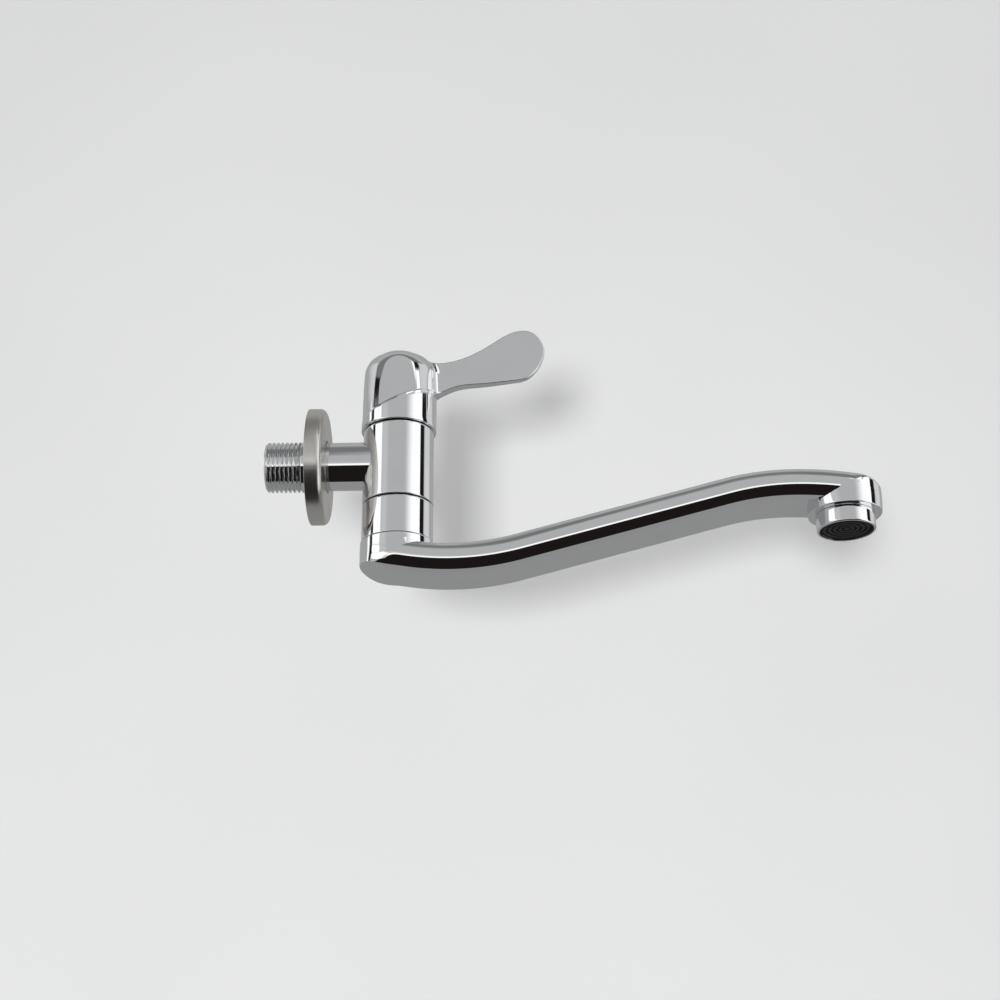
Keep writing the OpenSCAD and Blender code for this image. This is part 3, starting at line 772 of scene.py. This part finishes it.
@dataclass
class Spout:
    """Hub, rising arm and upright head, as one skin."""

    reach: float = 182.0
    hub_r: float = 15.05
    head_r: float = 15.3
    top: float = -35.03
    low_z: float = -51.18
    low_x: float = 22.0
    first_r: float = 113.0
    slope: float = 15.0
    rise: float = 29.65
    second_r: float = 100.0
    tip_r: float = 130.0
    crown: float = 13.4
    side_h: float = 6.55
    under_r: float = 6.6
    shoulder_r: float = 6.0
    crown_r: float = 60.0
    hub_edge: float = 0.5
    hub_blend: Pair = (-12.0, 2.0)
    hub_floor: float = -43.4
    floor_t: float = 1.0
    front_edge: float = 1.1
    front_fall: float = 1.9
    front_bow: float = 1.4
    front_wall: float = 0.3
    front_blend: Pair = (0.1, 0.55)
    head_top: float = -15.6
    head_low: float = -25.1
    head_lap: float = 0.4
    head_foot_r: float = 0.4
    head_draft: float = 0.4
    head_draft_h: float = 4.4
    socket_r: float = 10.9
    socket_h: float = 6.0
    neck_r: float = 12.0
    neck_top: float = -23.95
    neck_bore: float = 9.06
    tuck: float = 0.03
    end_steps: int = 64
    side_steps: int = 132
    round_steps: int = 14

    def __post_init__(self) -> None:
        """Works out where the bends start and end."""
        tilt = math.radians(self.slope)
        bends = (self.first_r + self.second_r) * (1 - math.cos(tilt))
        run = (self.rise - bends) / math.sin(tilt)
        self.run_x = self.low_x + self.first_r * math.sin(tilt)
        self.run_z = self.low_z + self.first_r * (1 - math.cos(tilt))
        self.bend_x = self.run_x + run * math.cos(tilt)
        self.level_x = self.bend_x + self.second_r * math.sin(tilt)
        self.level_z = self.low_z + self.rise

    def underside(self, x: Array) -> Array:
        """Height of the underside.

        Args:
            x: Distances from the swivel axis.

        Returns:
            The height at each distance.
        """

        def bend(radius: float, middle: float) -> Array:
            """Upright distance of a bend from its centre."""
            return np.sqrt(np.maximum(radius**2 - (x - middle) ** 2, 1))

        first = self.low_z + self.first_r - bend(self.first_r, self.low_x)
        run = self.run_z + (x - self.run_x) * math.tan(math.radians(self.slope))
        second = self.level_z - self.second_r + bend(self.second_r, self.level_x)
        tip = self.level_z - self.tip_r + bend(self.tip_r, self.level_x)
        parts = [x < self.run_x, x < self.bend_x, x < self.level_x]
        return np.select(parts, [first, run, second], tip)

    def steepness(self, x: Array) -> Array:
        """Factor from heights across the arm to upright heights.

        Args:
            x: Distances from the swivel axis.

        Returns:
            The factor at each distance.
        """
        step = 0.05
        grade = (self.underside(x + step) - self.underside(x - step)) / (2 * step)
        return np.sqrt(1 + grade**2)

    def outline(self) -> tuple[Array, Array, Array]:
        """Plan of the arm: hub end, near side, head end and far side.

        Returns:
            Centre-line points, half widths and outward directions.
        """
        back = np.radians(np.linspace(90, 270, self.end_steps + 1))
        front = np.radians(np.linspace(-90, 90, self.end_steps + 1))
        side = np.linspace(0, 1, self.side_steps + 1)[1:-1]
        near, far = (np.full_like(side, math.radians(a)) for a in (270, 90))
        widths = self.hub_r + (self.head_r - self.hub_r) * side
        along = np.concatenate([np.zeros_like(back), side, np.ones_like(front), side[::-1], [0]])
        half = np.concatenate([
            np.full_like(back, self.hub_r), widths, np.full_like(front, self.head_r), widths[::-1],
            [self.hub_r],
        ])
        angles = np.concatenate([back, near, front, far, back[:1]])
        return along * self.reach, half, np.stack((np.cos(angles), np.sin(angles)), axis=1)

    def levels(self, half: Array, hub: Array, front: Array) -> tuple[Array, Array]:
        """Insets and heights of the skin's rings, from the underside's middle to the crown's.

        Args:
            half: Half width at each outline point.
            hub: Share of the crisp hub edge at each outline point.
            front: Share of the head's front edge at each outline point.

        Returns:
            Insets and heights as rings by outline points.
        """
        insets: list[Array] = []
        heights: list[Array] = []

        def ring(inset: Array, height: Array) -> None:
            """Adds one ring."""
            insets.append(np.broadcast_to(inset, half.shape).astype(float))
            heights.append(np.broadcast_to(height, half.shape).astype(float))

        # Flat underside, with rings that crowd towards its edge
        lift = math.asin(self.side_h / self.under_r)
        start = blend(self.under_r * (1 - math.cos(lift)), self.hub_edge, hub)
        for share in (1.0, 0.85, 0.7, 0.55, 0.4, 0.28, 0.2, 0.12, 0.06, 0.02):
            ring(start + (half - start) * share, np.zeros_like(half))

        # Round from the underside up to the widest line, or a crisp edge and a wall at the hub
        shares = np.linspace(0, 1, self.round_steps + 1)
        for a in shares[1:]:
            arm_a = -lift * (1 - a)
            arm_d = self.under_r * (1 - math.cos(arm_a))
            arm_h = self.side_h + self.under_r * math.sin(arm_a)
            edge_a = -math.pi / 2 * (1 - min(1.0, a * 2))
            hub_d = self.hub_edge * (1 - math.cos(edge_a))
            hub_h = self.hub_edge * (1 + math.sin(edge_a))
            if a > 0.5:
                hub_h += (self.side_h - self.hub_edge) * (a - 0.5) * 2
            ring(blend(arm_d, hub_d, hub), blend(arm_h, hub_h, hub))

        # Shoulder of the arm, or the wall and corner of the head's front
        across = self.hub_r - self.shoulder_r
        up = math.sqrt((self.crown_r - self.shoulder_r) ** 2 - across**2)
        meet = math.atan2(up, across)
        base = self.crown - self.crown_r
        corner, wall = self.front_edge, self.front_wall
        wall_h = self.crown - self.front_fall - corner - base - up
        for a in shares:
            arm_d = self.shoulder_r * (1 - math.cos(meet * a))
            arm_h = base + up + self.shoulder_r * math.sin(meet * a)
            corner_a = math.pi / 2 * max(0.0, (a - wall) / (1 - wall))
            front_d = corner * (1 - math.cos(corner_a))
            front_h = base + up + wall_h * min(1.0, a / wall) + corner * math.sin(corner_a)
            ring(blend(arm_d, front_d, front), blend(arm_h, front_h, front))

        # Crown
        arm_start = self.hub_r - self.crown_r * math.cos(meet)
        for a in shares[1:]:
            crown_a = meet + (math.pi / 2 - meet) * a
            inset = self.hub_r - self.crown_r * math.cos(crown_a) - arm_start
            share = inset / (self.hub_r - arm_start)
            arm_d = arm_start + (half - arm_start) * share
            arm_h = base + self.crown_r * math.sin(crown_a)
            front_d = corner + (half - corner) * share
            front_h = self.crown - self.front_fall * (1 - share) ** self.front_bow
            ring(blend(arm_d, front_d, front), blend(arm_h, front_h, front))
        return np.array(insets), np.array(heights)

    def skin(self) -> Array:
        """Points of the arm's skin, ring by ring.

        Returns:
            Points in millimetres, as rings by outline points by three.
        """
        centre, half, out = self.outline()
        plan_x = centre + half * out[:, 0]
        hub = 1 - smoothstep(*self.hub_blend, plan_x)
        front = smoothstep(*self.front_blend, (plan_x - self.reach) / self.head_r)
        insets, heights = self.levels(half, hub, front)
        left = half - insets
        x = centre + left * out[:, 0]
        z = self.underside(x) + heights * self.steepness(x)
        z = np.where(x > self.level_x, np.maximum(z, self.head_low + self.head_lap), z)
        return np.stack((x + AXIS_X, left * out[:, 1], z), axis=2)

    def build(self, paint: Paint) -> None:
        """Forms the skin, unites it with hub and head, and puts it in place.

        Args:
            paint: The finishes.
        """
        arm = form_grid("swivel_spout_arm", self.skin())
        hub_r, floor_top = self.hub_r - self.tuck, self.hub_floor + self.floor_t
        hub = turn("hub_column", rounded([
            (0.0, self.hub_floor, 0), (hub_r, self.hub_floor, 0), (hub_r, self.top, ROUND_EDGE),
            (self.neck_r, self.top, 0), (self.neck_r, self.neck_top, 0),
            (self.neck_bore, self.neck_top, 0), (self.neck_bore, floor_top, 0), (0.0, floor_top, 0),
        ]), (AXIS_X, 0.0, 0.0), Axis.UP)
        head_r, roof = self.head_r - self.tuck, self.head_low + self.socket_h
        head = turn("head_column", rounded([
            (0.0, roof, 0), (self.socket_r, roof, 0), (self.socket_r, self.head_low, PLAIN_EDGE),
            (self.head_r - self.head_draft, self.head_low, self.head_foot_r),
            (head_r, self.head_low + self.head_draft_h, 0), (head_r, self.head_top, 0),
            (0.0, self.head_top, 0),
        ]), (AXIS_X + self.reach, 0.0, 0.0), Axis.UP)
        unite(arm, [hub, head])
        paint.settle(arm, CHROME, Body.SPOUT, "spout")


@dataclass
class Aerator:
    """Short round housing under the head and the black insert in its mouth."""

    top: float = -25.13
    low: float = -31.93
    top_r: float = 12.0
    low_r: float = 11.85
    low_edge: float = 0.6
    mouth_r: float = 10.9
    thread_r: float = 10.8
    thread_top: float = -18.63
    bore_r: float = 9.3
    shelf_h: float = 3.0
    insert_low: float = -31.1
    insert_t: float = 2.6
    insert_gap: float = 0.03
    border: float = 0.6
    rings: int = 5
    groove: tuple[Pair, ...] = ((0.6, 0.0), (0.65, 0.7), (0.95, 0.7), (1.0, 0.0))
    groove_edge: float = 0.08
    groove_steps: int = 3
    insert_around: int = 120

    def build(self, paint: Paint) -> None:
        """Turns housing and insert and puts them in place.

        Args:
            paint: The finishes.
        """
        foot = (AXIS_X + Spout.reach, 0.0, 0.0)
        shelf = self.insert_low + self.shelf_h
        ring = turn("aerator_housing", rounded([
            (self.bore_r, shelf, 0), (self.bore_r, self.thread_top, 0),
            (self.thread_r, self.thread_top, PLAIN_EDGE), (self.thread_r, self.top, 0),
            (self.top_r, self.top, SOFT_EDGE), (self.low_r, self.low, self.low_edge),
            (self.mouth_r, self.low, FINE_EDGE), (self.mouth_r, shelf, 0),
            (self.bore_r, shelf, 0),
        ]), foot, Axis.UP)
        paint.settle(ring, CHROME, Body.SPOUT, "aerator_ring")
        low, back = self.insert_low, self.insert_low + self.insert_t
        face: list[Triple] = [(0.0, back, 0), (0.0, low, 0)]
        step = (self.mouth_r - self.border) / self.rings
        for i in range(self.rings):
            for share, depth in self.groove:
                face.append((i * step + share * step, low + depth, self.groove_edge))
        outer = self.mouth_r - self.insert_gap
        face += [(outer, low, PLAIN_EDGE), (outer, back, 0), (0.0, back, 0)]
        profile = rounded(face, self.groove_steps)
        insert = turn("aerator_insert_face", profile, foot, Axis.UP, self.insert_around)
        paint.settle(insert, BLACK_PLASTIC, Body.SPOUT, "aerator_insert")


# Ledge of the handle, ring by ring: height from the ledge, and share of step and facets
LEDGE_RIM = (
    (-0.6, 0.0), (-0.4, 0.016), (-0.22, 0.06), (-0.08, 0.13), (-0.02, 0.2), (0.0, 0.27),
    (0.02, 0.5), (0.04, 0.75), (0.06, 0.9), (0.12, 0.97), (0.3, 1.0), (0.7, 1.0),
)


@dataclass
class LeverHandle:
    """Domed handle with flat side facets, a sloping ledge and a paddle lever."""

    foot_z: float = 14.9
    skirt_r: float = 15.6
    skirt_h: float = 26.1
    barrel_r: float = 470.0
    shoulder_r: float = 10.6
    crown_r: float = 19.6
    bore_r: float = 12.2
    roof: float = 11.8
    facet_y: float = 13.21
    facet_lean: float = 0.3
    facet_turn: float = 1.5
    facet_edge_back: float = 0.12
    facet_edge_lever: float = 0.35
    facet_blend: float = 6.0
    foot_edge: float = 0.45
    ledge_h: float = 10.3
    ledge_room: float = 0.9
    ledge_slope: float = 24.0
    ledge_step: float = 0.25
    step_fade: float = 22.0
    waist: float = 0.0033
    waist_low: float = 14.0
    waist_turn: Pair = (0.35, 0.8)
    nose: Pair = (61.5, 38.0)
    taper_x: float = 18.0
    neck_t: float = 2.5
    tip_t: float = 1.3
    rim_r: float = 0.7
    rim_power: float = 3.0
    fillet_r: float = 4.5
    around: int = 384
    skirt_rings: int = 14
    skirt_shares: Pair = (0.12, 0.9)
    dome_rings: int = 91
    dome_spread: Pair = (0.55, 0.45)
    tilt_rounds: int = 12
    lever_sections: int = 150
    lever_crowding: float = 0.9
    lever_rows: int = 60
    lever_spread: Pair = (0.75, 0.25)

    def __post_init__(self) -> None:
        """Works out the dome's arcs: a slightly curved side, a shoulder and a crown."""
        turned = math.asin(self.skirt_h / self.barrel_r)
        inside = self.barrel_r - self.shoulder_r
        self.shoulder_x = self.skirt_r - self.barrel_r + inside * math.cos(turned)
        self.shoulder_z = inside * math.sin(turned)
        between = self.crown_r - self.shoulder_r
        meet = math.acos(self.shoulder_x / between)
        self.crown_z = self.shoulder_z - between * math.sin(meet)
        self.meet_z = self.crown_z + self.crown_r * math.sin(meet)
        self.dome_top = self.crown_z + self.crown_r

    def radius(self, z: Array) -> Array:
        """Radius of skirt and dome.

        Args:
            z: Heights above the foot.

        Returns:
            The radius at each height.
        """
        side = self.skirt_r - self.barrel_r + np.sqrt(np.maximum(self.barrel_r**2 - z**2, 0))
        up = z - self.shoulder_z
        shoulder = self.shoulder_x + np.sqrt(np.maximum(self.shoulder_r**2 - up**2, 0))
        crown = np.sqrt(np.maximum(self.crown_r**2 - (z - self.crown_z) ** 2, 0))
        return np.where(z < self.skirt_h, side, np.where(z < self.meet_z, shoulder, crown))

    def dome(self) -> Array:
        """Points of skirt, ledge, facets and dome, ring by ring.

        Returns:
            Points in millimetres, as rings by angles by three.
        """
        angle = np.linspace(0, 2 * np.pi, self.around + 1)
        cos, sin = np.cos(angle), np.sin(angle)
        grade = math.tan(math.radians(self.ledge_slope))
        lean, yaw = math.radians(self.facet_lean), math.radians(self.facet_turn)
        level = math.cos(lean)
        normal = (math.sin(yaw) * level, math.cos(yaw) * level, math.sin(lean))
        facing = np.tile(normal, (angle.size, 1))
        facing[:, 1] *= np.where(sin >= 0, 1.0, -1.0)
        lever_side = smoothstep(-self.facet_blend, self.facet_blend, self.skirt_r * cos)
        edge = self.facet_edge_back + (self.facet_edge_lever - self.facet_edge_back) * lever_side
        waist_side = smoothstep(*self.waist_turn, np.abs(sin))

        def ring(z0: float, tilt: float, cut: float) -> Array:
            """One ring, tilted with the ledge and cut by step and facets.

            Args:
                z0: Height of its middle.
                tilt: Share of the ledge's slope.
                cut: Share of step and facets.

            Returns:
                Points as angles by three.
            """
            z = np.full_like(angle, z0)
            for _ in range(self.tilt_rounds):
                z = np.clip(z0 + tilt * grade * self.radius(z) * cos, 0, self.dome_top - HAIR)
            step = self.ledge_step * (1 - smoothstep(0.0, self.step_fade, z0 - self.ledge_h))
            dome = self.radius(z)
            waist = self.waist * np.maximum(z - self.waist_low, 0) ** 2 * waist_side
            upper = np.maximum(dome - step - waist * dome / self.skirt_r, 0)
            r = self.skirt_r + (upper - self.skirt_r) * cut
            place = np.stack((r * cos, r * sin, z), axis=1)
            over = ((place - (0, 0, self.ledge_h)) * facing).sum(axis=1) - self.facet_y
            kept = 0.5 * (over - np.sqrt(over**2 + edge**2))
            return place - facing * ((over - kept) * cut)[:, None]

        def level_ring(r: float, z: float) -> Array:
            """One plain ring."""
            return np.stack((r * cos, r * sin, np.full_like(angle, z)), axis=1)

        rings = [level_ring(r, z) for r, z in (
            (0.0, self.roof), (self.bore_r, self.roof), (self.bore_r, PLAIN_EDGE),
            (self.bore_r + PLAIN_EDGE, 0.0), (self.skirt_r - self.foot_edge, 0.0),
            (self.skirt_r - 0.22, 0.06), (self.skirt_r - 0.07, 0.2), (self.skirt_r, self.foot_edge),
        )]
        skirt = self.ledge_h - self.ledge_room - self.foot_edge
        for share in np.linspace(*self.skirt_shares, self.skirt_rings):
            rings.append(ring(self.foot_edge + skirt * share, share, 0.0))
        for shift, cut in LEDGE_RIM:
            rings.append(ring(self.ledge_h + shift, 1.0, cut))
        rim_top = LEDGE_RIM[-1][0]
        climb = self.dome_top - self.ledge_h - rim_top
        curved, even = self.dome_spread
        for share in np.linspace(0, 1, self.dome_rings + 1)[1:-1]:
            height = math.sin(share * math.pi / 2) * curved + share * even
            rings.append(ring(self.ledge_h + rim_top + climb * height, 1 - height, 1.0))
        rings.append(level_ring(0.0, self.dome_top))
        skin = np.array(rings)
        skin[:, -1] = skin[:, 0]
        return skin

    def edges(self) -> tuple[Array, Array]:
        """Upper and lower edge of the lever in side view, from root to nose.

        Returns:
            Points of both edges, as distance from the axis and height above the foot.
        """
        upper = np.concatenate([
            bezier([(8.0, 33.2), (12.0, 32.4), (15.0, 31.75), (18.9, 32.1)], 24)[:-1],
            bezier([(18.9, 32.1), (25.0, 32.9), (31.0, 35.7), (37.0, 39.75)], 30)[:-1],
            bezier([(37.0, 39.75), (43.0, 43.8), (46.8, 47.5), (53.0, 47.5)], 30)[:-1],
            bezier([(53.0, 47.5), (57.6, 47.5), (60.9, 42.4), self.nose], 30),
        ])
        lower = np.concatenate([
            bezier([(8.0, 15.0), (14.0, 15.2), (16.5, 17.0), (19.9, 18.55)], 24)[:-1],
            bezier([(19.9, 18.55), (23.5, 20.3), (26.0, 21.1), (32.0, 21.4)], 24)[:-1],
            bezier([(32.0, 21.4), (38.0, 21.7), (44.0, 22.7), (49.5, 23.3)], 30)[:-1],
            bezier([(49.5, 23.3), (53.8, 23.75), (55.7, 25.4), (57.9, 28.2)], 20)[:-1],
            bezier([(57.9, 28.2), (60.1, 31.1), (61.5, 35.0), self.nose], 24),
        ])
        spread = np.linspace(0, 1, self.lever_sections + 1) ** self.lever_crowding

        def even(edge: Array) -> Array:
            """The same edge with points spread along its length."""
            run = np.concatenate([[0], np.cumsum(np.linalg.norm(np.diff(edge, axis=0), axis=1))])
            return np.stack([np.interp(spread * run[-1], run, axis) for axis in edge.T], axis=1)

        return even(upper), even(lower)

    def thickness(self, x: Array, z: Array) -> Array:
        """Half thickness of the lever, with the upright fillet at its root.

        Args:
            x: Distances from the axis.
            z: Heights above the foot.

        Returns:
            The half thickness at each point.
        """
        taper = np.clip((x - self.taper_x) / (self.nose[0] - self.taper_x), 0, 1)
        plain = self.neck_t + (self.tip_t - self.neck_t) * taper
        r = self.radius(z)
        start = np.sqrt(np.maximum((r + self.fillet_r) ** 2 - (plain + self.fillet_r) ** 2, 0))
        touch = start * r / (r + self.fillet_r)
        inside = np.clip(start - np.maximum(x, touch), 0, self.fillet_r * NEARLY_ALL)
        return plain + self.fillet_r - np.sqrt(self.fillet_r**2 - inside**2)

    def lever(self) -> Array:
        """Points of the lever, as sections from root to nose.

        Returns:
            Points in millimetres, as sections by points by three.
        """
        upper, lower = self.edges()
        share = (1 - np.cos(np.linspace(0, np.pi, self.lever_rows + 1))) / 2
        plain, crowded = self.lever_spread
        share = plain * share + crowded * smoothstep(0, 1, share)
        side = lower[:, None, :] + (upper - lower)[:, None, :] * share[None, :, None]

        # Depth of each point inside the rim, for the round along the edge
        flat = side.reshape(-1, 2)
        rim = np.concatenate([upper, lower[::-1]])
        along = np.diff(rim, axis=0)
        length = np.maximum((along**2).sum(axis=1), TINY)
        off = flat[:, None, :] - rim[:-1]
        t = np.clip((off * along).sum(axis=2) / length, 0, 1)
        depth = np.sqrt(((off - along * t[..., None]) ** 2).sum(axis=2)).min(axis=1)

        full = self.thickness(flat[:, 0], flat[:, 1])
        reach = np.clip(1 - depth / self.rim_r, 0, 1)
        half = full * (1 - reach**self.rim_power) ** (1 / self.rim_power)
        half = half.reshape(side.shape[:2])
        near = np.stack((side[..., 0], -half, side[..., 1]), axis=2)
        far = np.stack((side[..., 0], half, side[..., 1]), axis=2)[:, ::-1]
        loop = np.concatenate([near, far[:, 1:]], axis=1)
        cap = np.repeat(loop[:1].mean(axis=1, keepdims=True), loop.shape[1], axis=1)
        return np.concatenate([cap, loop], axis=0)

    def build(self, paint: Paint) -> None:
        """Forms dome and lever, unites them and puts them in place.

        Args:
            paint: The finishes.
        """
        shift = np.array((AXIS_X, 0.0, self.foot_z))
        dome = form_grid("lever_handle_dome", self.dome() + shift)
        lever = form_grid("paddle", self.lever() + shift)
        unite(dome, [lever])
        paint.settle(dome, CHROME, Body.HANDLE, "lever_handle")


# Camera, stage and light


@dataclass
class Viewpoint:
    """Camera that stands where the photograph was taken from."""

    place: Triple = (0.08527, -0.60154, -0.27549)
    azimuth: float = 0.678
    elevation: float = -23.336
    roll: float = -0.617
    lens: float = 57.6
    sensor: float = 36.0
    near: float = 0.01

    def build(self) -> None:
        """Adds the camera and makes it the scene's."""
        az, el, roll = (math.radians(v) for v in (self.azimuth, self.elevation, self.roll))
        look = Vector((-math.sin(az) * math.cos(el), math.cos(az) * math.cos(el), -math.sin(el)))
        level = look.cross(Vector((0, 0, 1))).normalized()
        upright = level.cross(look)
        right = level * math.cos(roll) + upright * math.sin(roll)
        up = upright * math.cos(roll) - level * math.sin(roll)
        deselect()
        bpy.ops.object.camera_add()
        camera = bpy.context.object
        camera.data.lens = self.lens
        camera.data.sensor_width = self.sensor
        camera.data.clip_start = self.near
        camera.matrix_world = Matrix((
            (right.x, up.x, -look.x, self.place[0]),
            (right.y, up.y, -look.y, self.place[1]),
            (right.z, up.z, -look.z, self.place[2]),
            (0, 0, 0, 1),
        ))
        bpy.context.scene.camera = camera


@dataclass(frozen=True)
class Lamp:
    """A soft square lamp that lights the tap and isn't mirrored in the metal."""

    name: str
    place: Triple
    aim: Triple
    size: float
    power: float

    def build(self) -> None:
        """Adds the lamp and turns it to its aim."""
        deselect()
        bpy.ops.object.light_add(type="AREA", location=self.place)
        lamp = bpy.context.object
        lamp.name = self.name
        lamp.data.size = self.size
        lamp.data.energy = self.power
        line = Vector(self.aim) - Vector(self.place)
        lamp.rotation_euler = line.to_track_quat("-Z", "Y").to_euler()
        lamp.visible_glossy = False


@dataclass
class Stage:
    """Pale backdrop behind the tap, a floor below it and soft light."""

    backdrop_y: float = 0.215
    floor_z: float = -0.13
    size: float = 6.0
    pale: Triple = (0.84, 0.85, 0.845)
    dim: float = 0.97
    mottle_scale: float = 3.0
    mottle_levels: Pair = (0.3, 0.7)
    seen: Triple = (0.78, 0.79, 0.79)
    lamps: tuple[Lamp, ...] = (
        Lamp("key_lamp", (-0.05, -1.31, -0.49), (0.09, 0.1, 0.0), 0.17, 11.2),
        Lamp("fill_lamp", (0.2, -0.9, 1.6), (0.09, 0.1, 0.0), 1.0, 2.9),
    )

    def surface(self, name: str) -> bpy.types.Material:
        """A pale matt surface that can be seen through from behind.

        Args:
            name: Name of the material.

        Returns:
            The material.
        """
        material = bpy.data.materials.new(name)
        material.use_nodes = True
        web = Web(material.node_tree)
        web.tree.nodes.clear()
        output = web.node("ShaderNodeOutputMaterial")
        matt = web.node("ShaderNodeBsdfDiffuse")
        place = web.node("ShaderNodeTexCoord").outputs["Object"]
        mottle = web.noise(place, self.mottle_scale, PLAIN_DETAIL)
        dim = tuple(c * self.dim for c in self.pale)
        colour = web.mix(web.ramp(mottle, *self.mottle_levels), (*self.pale, 1), (*dim, 1))
        web.link(colour, matt.inputs["Color"])
        clear = web.node("ShaderNodeBsdfTransparent")
        both = web.node("ShaderNodeMixShader")
        web.link(web.node("ShaderNodeNewGeometry").outputs["Backfacing"], both.inputs[0])
        web.link(matt.outputs[0], both.inputs[1])
        web.link(clear.outputs[0], both.inputs[2])
        web.link(both.outputs[0], output.inputs["Surface"])
        return material

    def sheet(self, name: str, place: Triple, tilt: float) -> Piece:
        """Adds a large pale sheet that isn't mirrored in the metal.

        Args:
            name: Name of the sheet.
            place: Its middle, in metres.
            tilt: Its turn about the X axis, in radians.

        Returns:
            The sheet.
        """
        deselect()
        bpy.ops.mesh.primitive_plane_add(size=self.size, location=place, rotation=(tilt, 0, 0))
        sheet = named(name)
        sheet.data.materials.append(self.surface(f"{name}_matt"))
        sheet.visible_glossy = False
        return sheet

    def build(self) -> None:
        """Adds backdrop, floor, lamps and world."""
        backdrop = self.sheet("backdrop", (0, self.backdrop_y, 0), math.pi / 2)
        floor = self.sheet("floor", (0, 0, self.floor_z), 0.0)
        floor.visible_shadow = False
        floor.visible_diffuse = False
        for lamp in self.lamps:
            lamp.build()
        self.room()

    def room(self) -> None:
        """World light: a grey room with bright panels at both sides and a dark lower front.

        Places in it are angles in degrees: turned, aside and pitch as seen from the tap, and rise
        above the level.
        """
        world = bpy.data.worlds.new("soft_room")
        bpy.context.scene.world = world
        world.use_nodes = True
        web = Web(world.node_tree)
        web.tree.nodes.clear()
        output = web.node("ShaderNodeOutputWorld")
        split = web.node("ShaderNodeSeparateXYZ")
        web.link(web.node("ShaderNodeTexCoord").outputs["Generated"], split.inputs[0])
        across, depth, up = split.outputs
        ahead = web.math("MULTIPLY", depth, -1.0)

        def degrees(*step: object) -> Socket:
            """An angle from one arithmetic step, in degrees."""
            return web.math("MULTIPLY", web.math(*step), 180 / math.pi)

        def within(first: Socket, second: Socket) -> Socket:
            """What two masks have in common."""
            return web.math("MULTIPLY", first, second)

        band, ramp, mix = web.band, web.ramp, web.mix
        turned = degrees("ARCTAN2", across, ahead)
        pitch = degrees("ARCTAN2", up, ahead)
        aside = degrees("ARCSINE", across)
        rise = degrees("ARCSINE", up)

        grey, haze, pale, dusk, behind, under, white = (
            (shade, shade, shade, 1) for shade in (0.51, 0.62, 0.72, 0.21, 0.42, 0.31, 1.25)
        )
        black = (0.013, 0.010, 0.010, 1)
        colour = mix(band(pitch, 56.0, 90.0, 26.0), grey, dusk)
        colour = mix(ramp(pitch, 92.0, 120.0), colour, behind)
        colour = mix(ramp(pitch, -106.0, -92.0, 1.0, 0.0), colour, under)
        strip = within(band(pitch, -17.0, -7.0, 2.5), band(aside, -24.0, 24.0, 8.0))
        colour = mix(strip, colour, white)
        dark = within(band(pitch, -100.0, -17.0, 2.0), band(aside, -44.0, 44.0, 8.0))
        colour = mix(dark, colour, black)
        low_wall = band(rise, -8.0, 27.7, 1.2)
        high_wall = band(rise, 27.7, 46.0, 1.6)
        # Below a rise of 20 degrees the left panel leans, by 1.2 degrees for each degree down
        drop = web.math("MAXIMUM", web.math("SUBTRACT", 20.0, rise), 0.0)
        swung = web.math("SUBTRACT", turned, web.math("MULTIPLY", drop, 1.2))
        bright = within(ramp(turned, 22.0, 54.0), ramp(turned, 78.5, 80.0, 1.0, 0.0))
        glow = within(ramp(turned, -124.0, -93.0), ramp(turned, -87.0, -82.0, 1.0, 0.0))
        for share, zone, shade in (
            (band(swung, -52.0, -32.0, 14.0), low_wall, haze),
            (band(swung, -79.0, -52.0, 2.5), low_wall, white),
            (band(turned, -88.0, -80.0, 1.5), low_wall, black),
            (band(turned, -99.0, -91.0, 2.0), low_wall, white),
            (bright, low_wall, white),
            (band(turned, 80.0, 97.0, 1.5), low_wall, black),
            (band(turned, 98.0, 126.0, 10.0), low_wall, pale),
            (glow, high_wall, pale),
            (band(turned, -68.0, -8.0, 8.0), band(rise, 32.0, 66.0, 6.0), dusk),
            (band(turned, -84.0, -57.0, 4.0), band(rise, 27.7, 33.5, 1.6), black),
            (band(turned, 76.0, 106.0, 4.0), high_wall, pale),
            (band(turned, 52.0, 74.0, 6.0), band(rise, 27.7, 36.5, 1.6), white),
            (band(turned, 22.0, 48.0, 5.0), band(rise, 32.0, 47.0, 4.0), white),
            (band(turned, 50.0, 74.0, 6.0), band(rise, 37.0, 50.0, 2.0), black),
            (band(turned, 20.0, 90.0, 10.0), band(rise, 50.0, 68.0, 5.0), dusk),
            (band(turned, 55.0, 115.0, 10.0), band(rise, -45.0, -8.0, 6.0), white),
        ):
            colour = mix(within(share, zone), colour, shade)

        seen = web.node("ShaderNodeBackground")
        seen.inputs["Color"].default_value = (*self.seen, 1)
        light = web.node("ShaderNodeBackground")
        web.link(colour, light.inputs["Color"])
        both = web.node("ShaderNodeMixShader")
        web.link(web.node("ShaderNodeLightPath").outputs["Is Camera Ray"], both.inputs[0])
        web.link(light.outputs[0], both.inputs[1])
        web.link(seen.outputs[0], both.inputs[2])
        web.link(both.outputs[0], output.inputs["Surface"])


def main() -> None:
    """Builds the tap round its frame."""
    logging.basicConfig(level=logging.INFO, format="%(message)s")
    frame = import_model()
    bpy.context.scene.view_settings.view_transform = "Standard"
    Viewpoint().build()
    paint = Paint()
    for part in (ValveBarrel(), InletPipe(), WallFlange(), Spout(), Aerator(), LeverHandle()):
        part.build(paint)
    for finish, nodes in NODE_FINISHES.items():
        for node in nodes:
            paint.lay(frame["nodes"][node], finish)
            LOG.info("%s keeps its CAD shape", node)
    Stage().build()


if __name__ == "__main__":
    main()
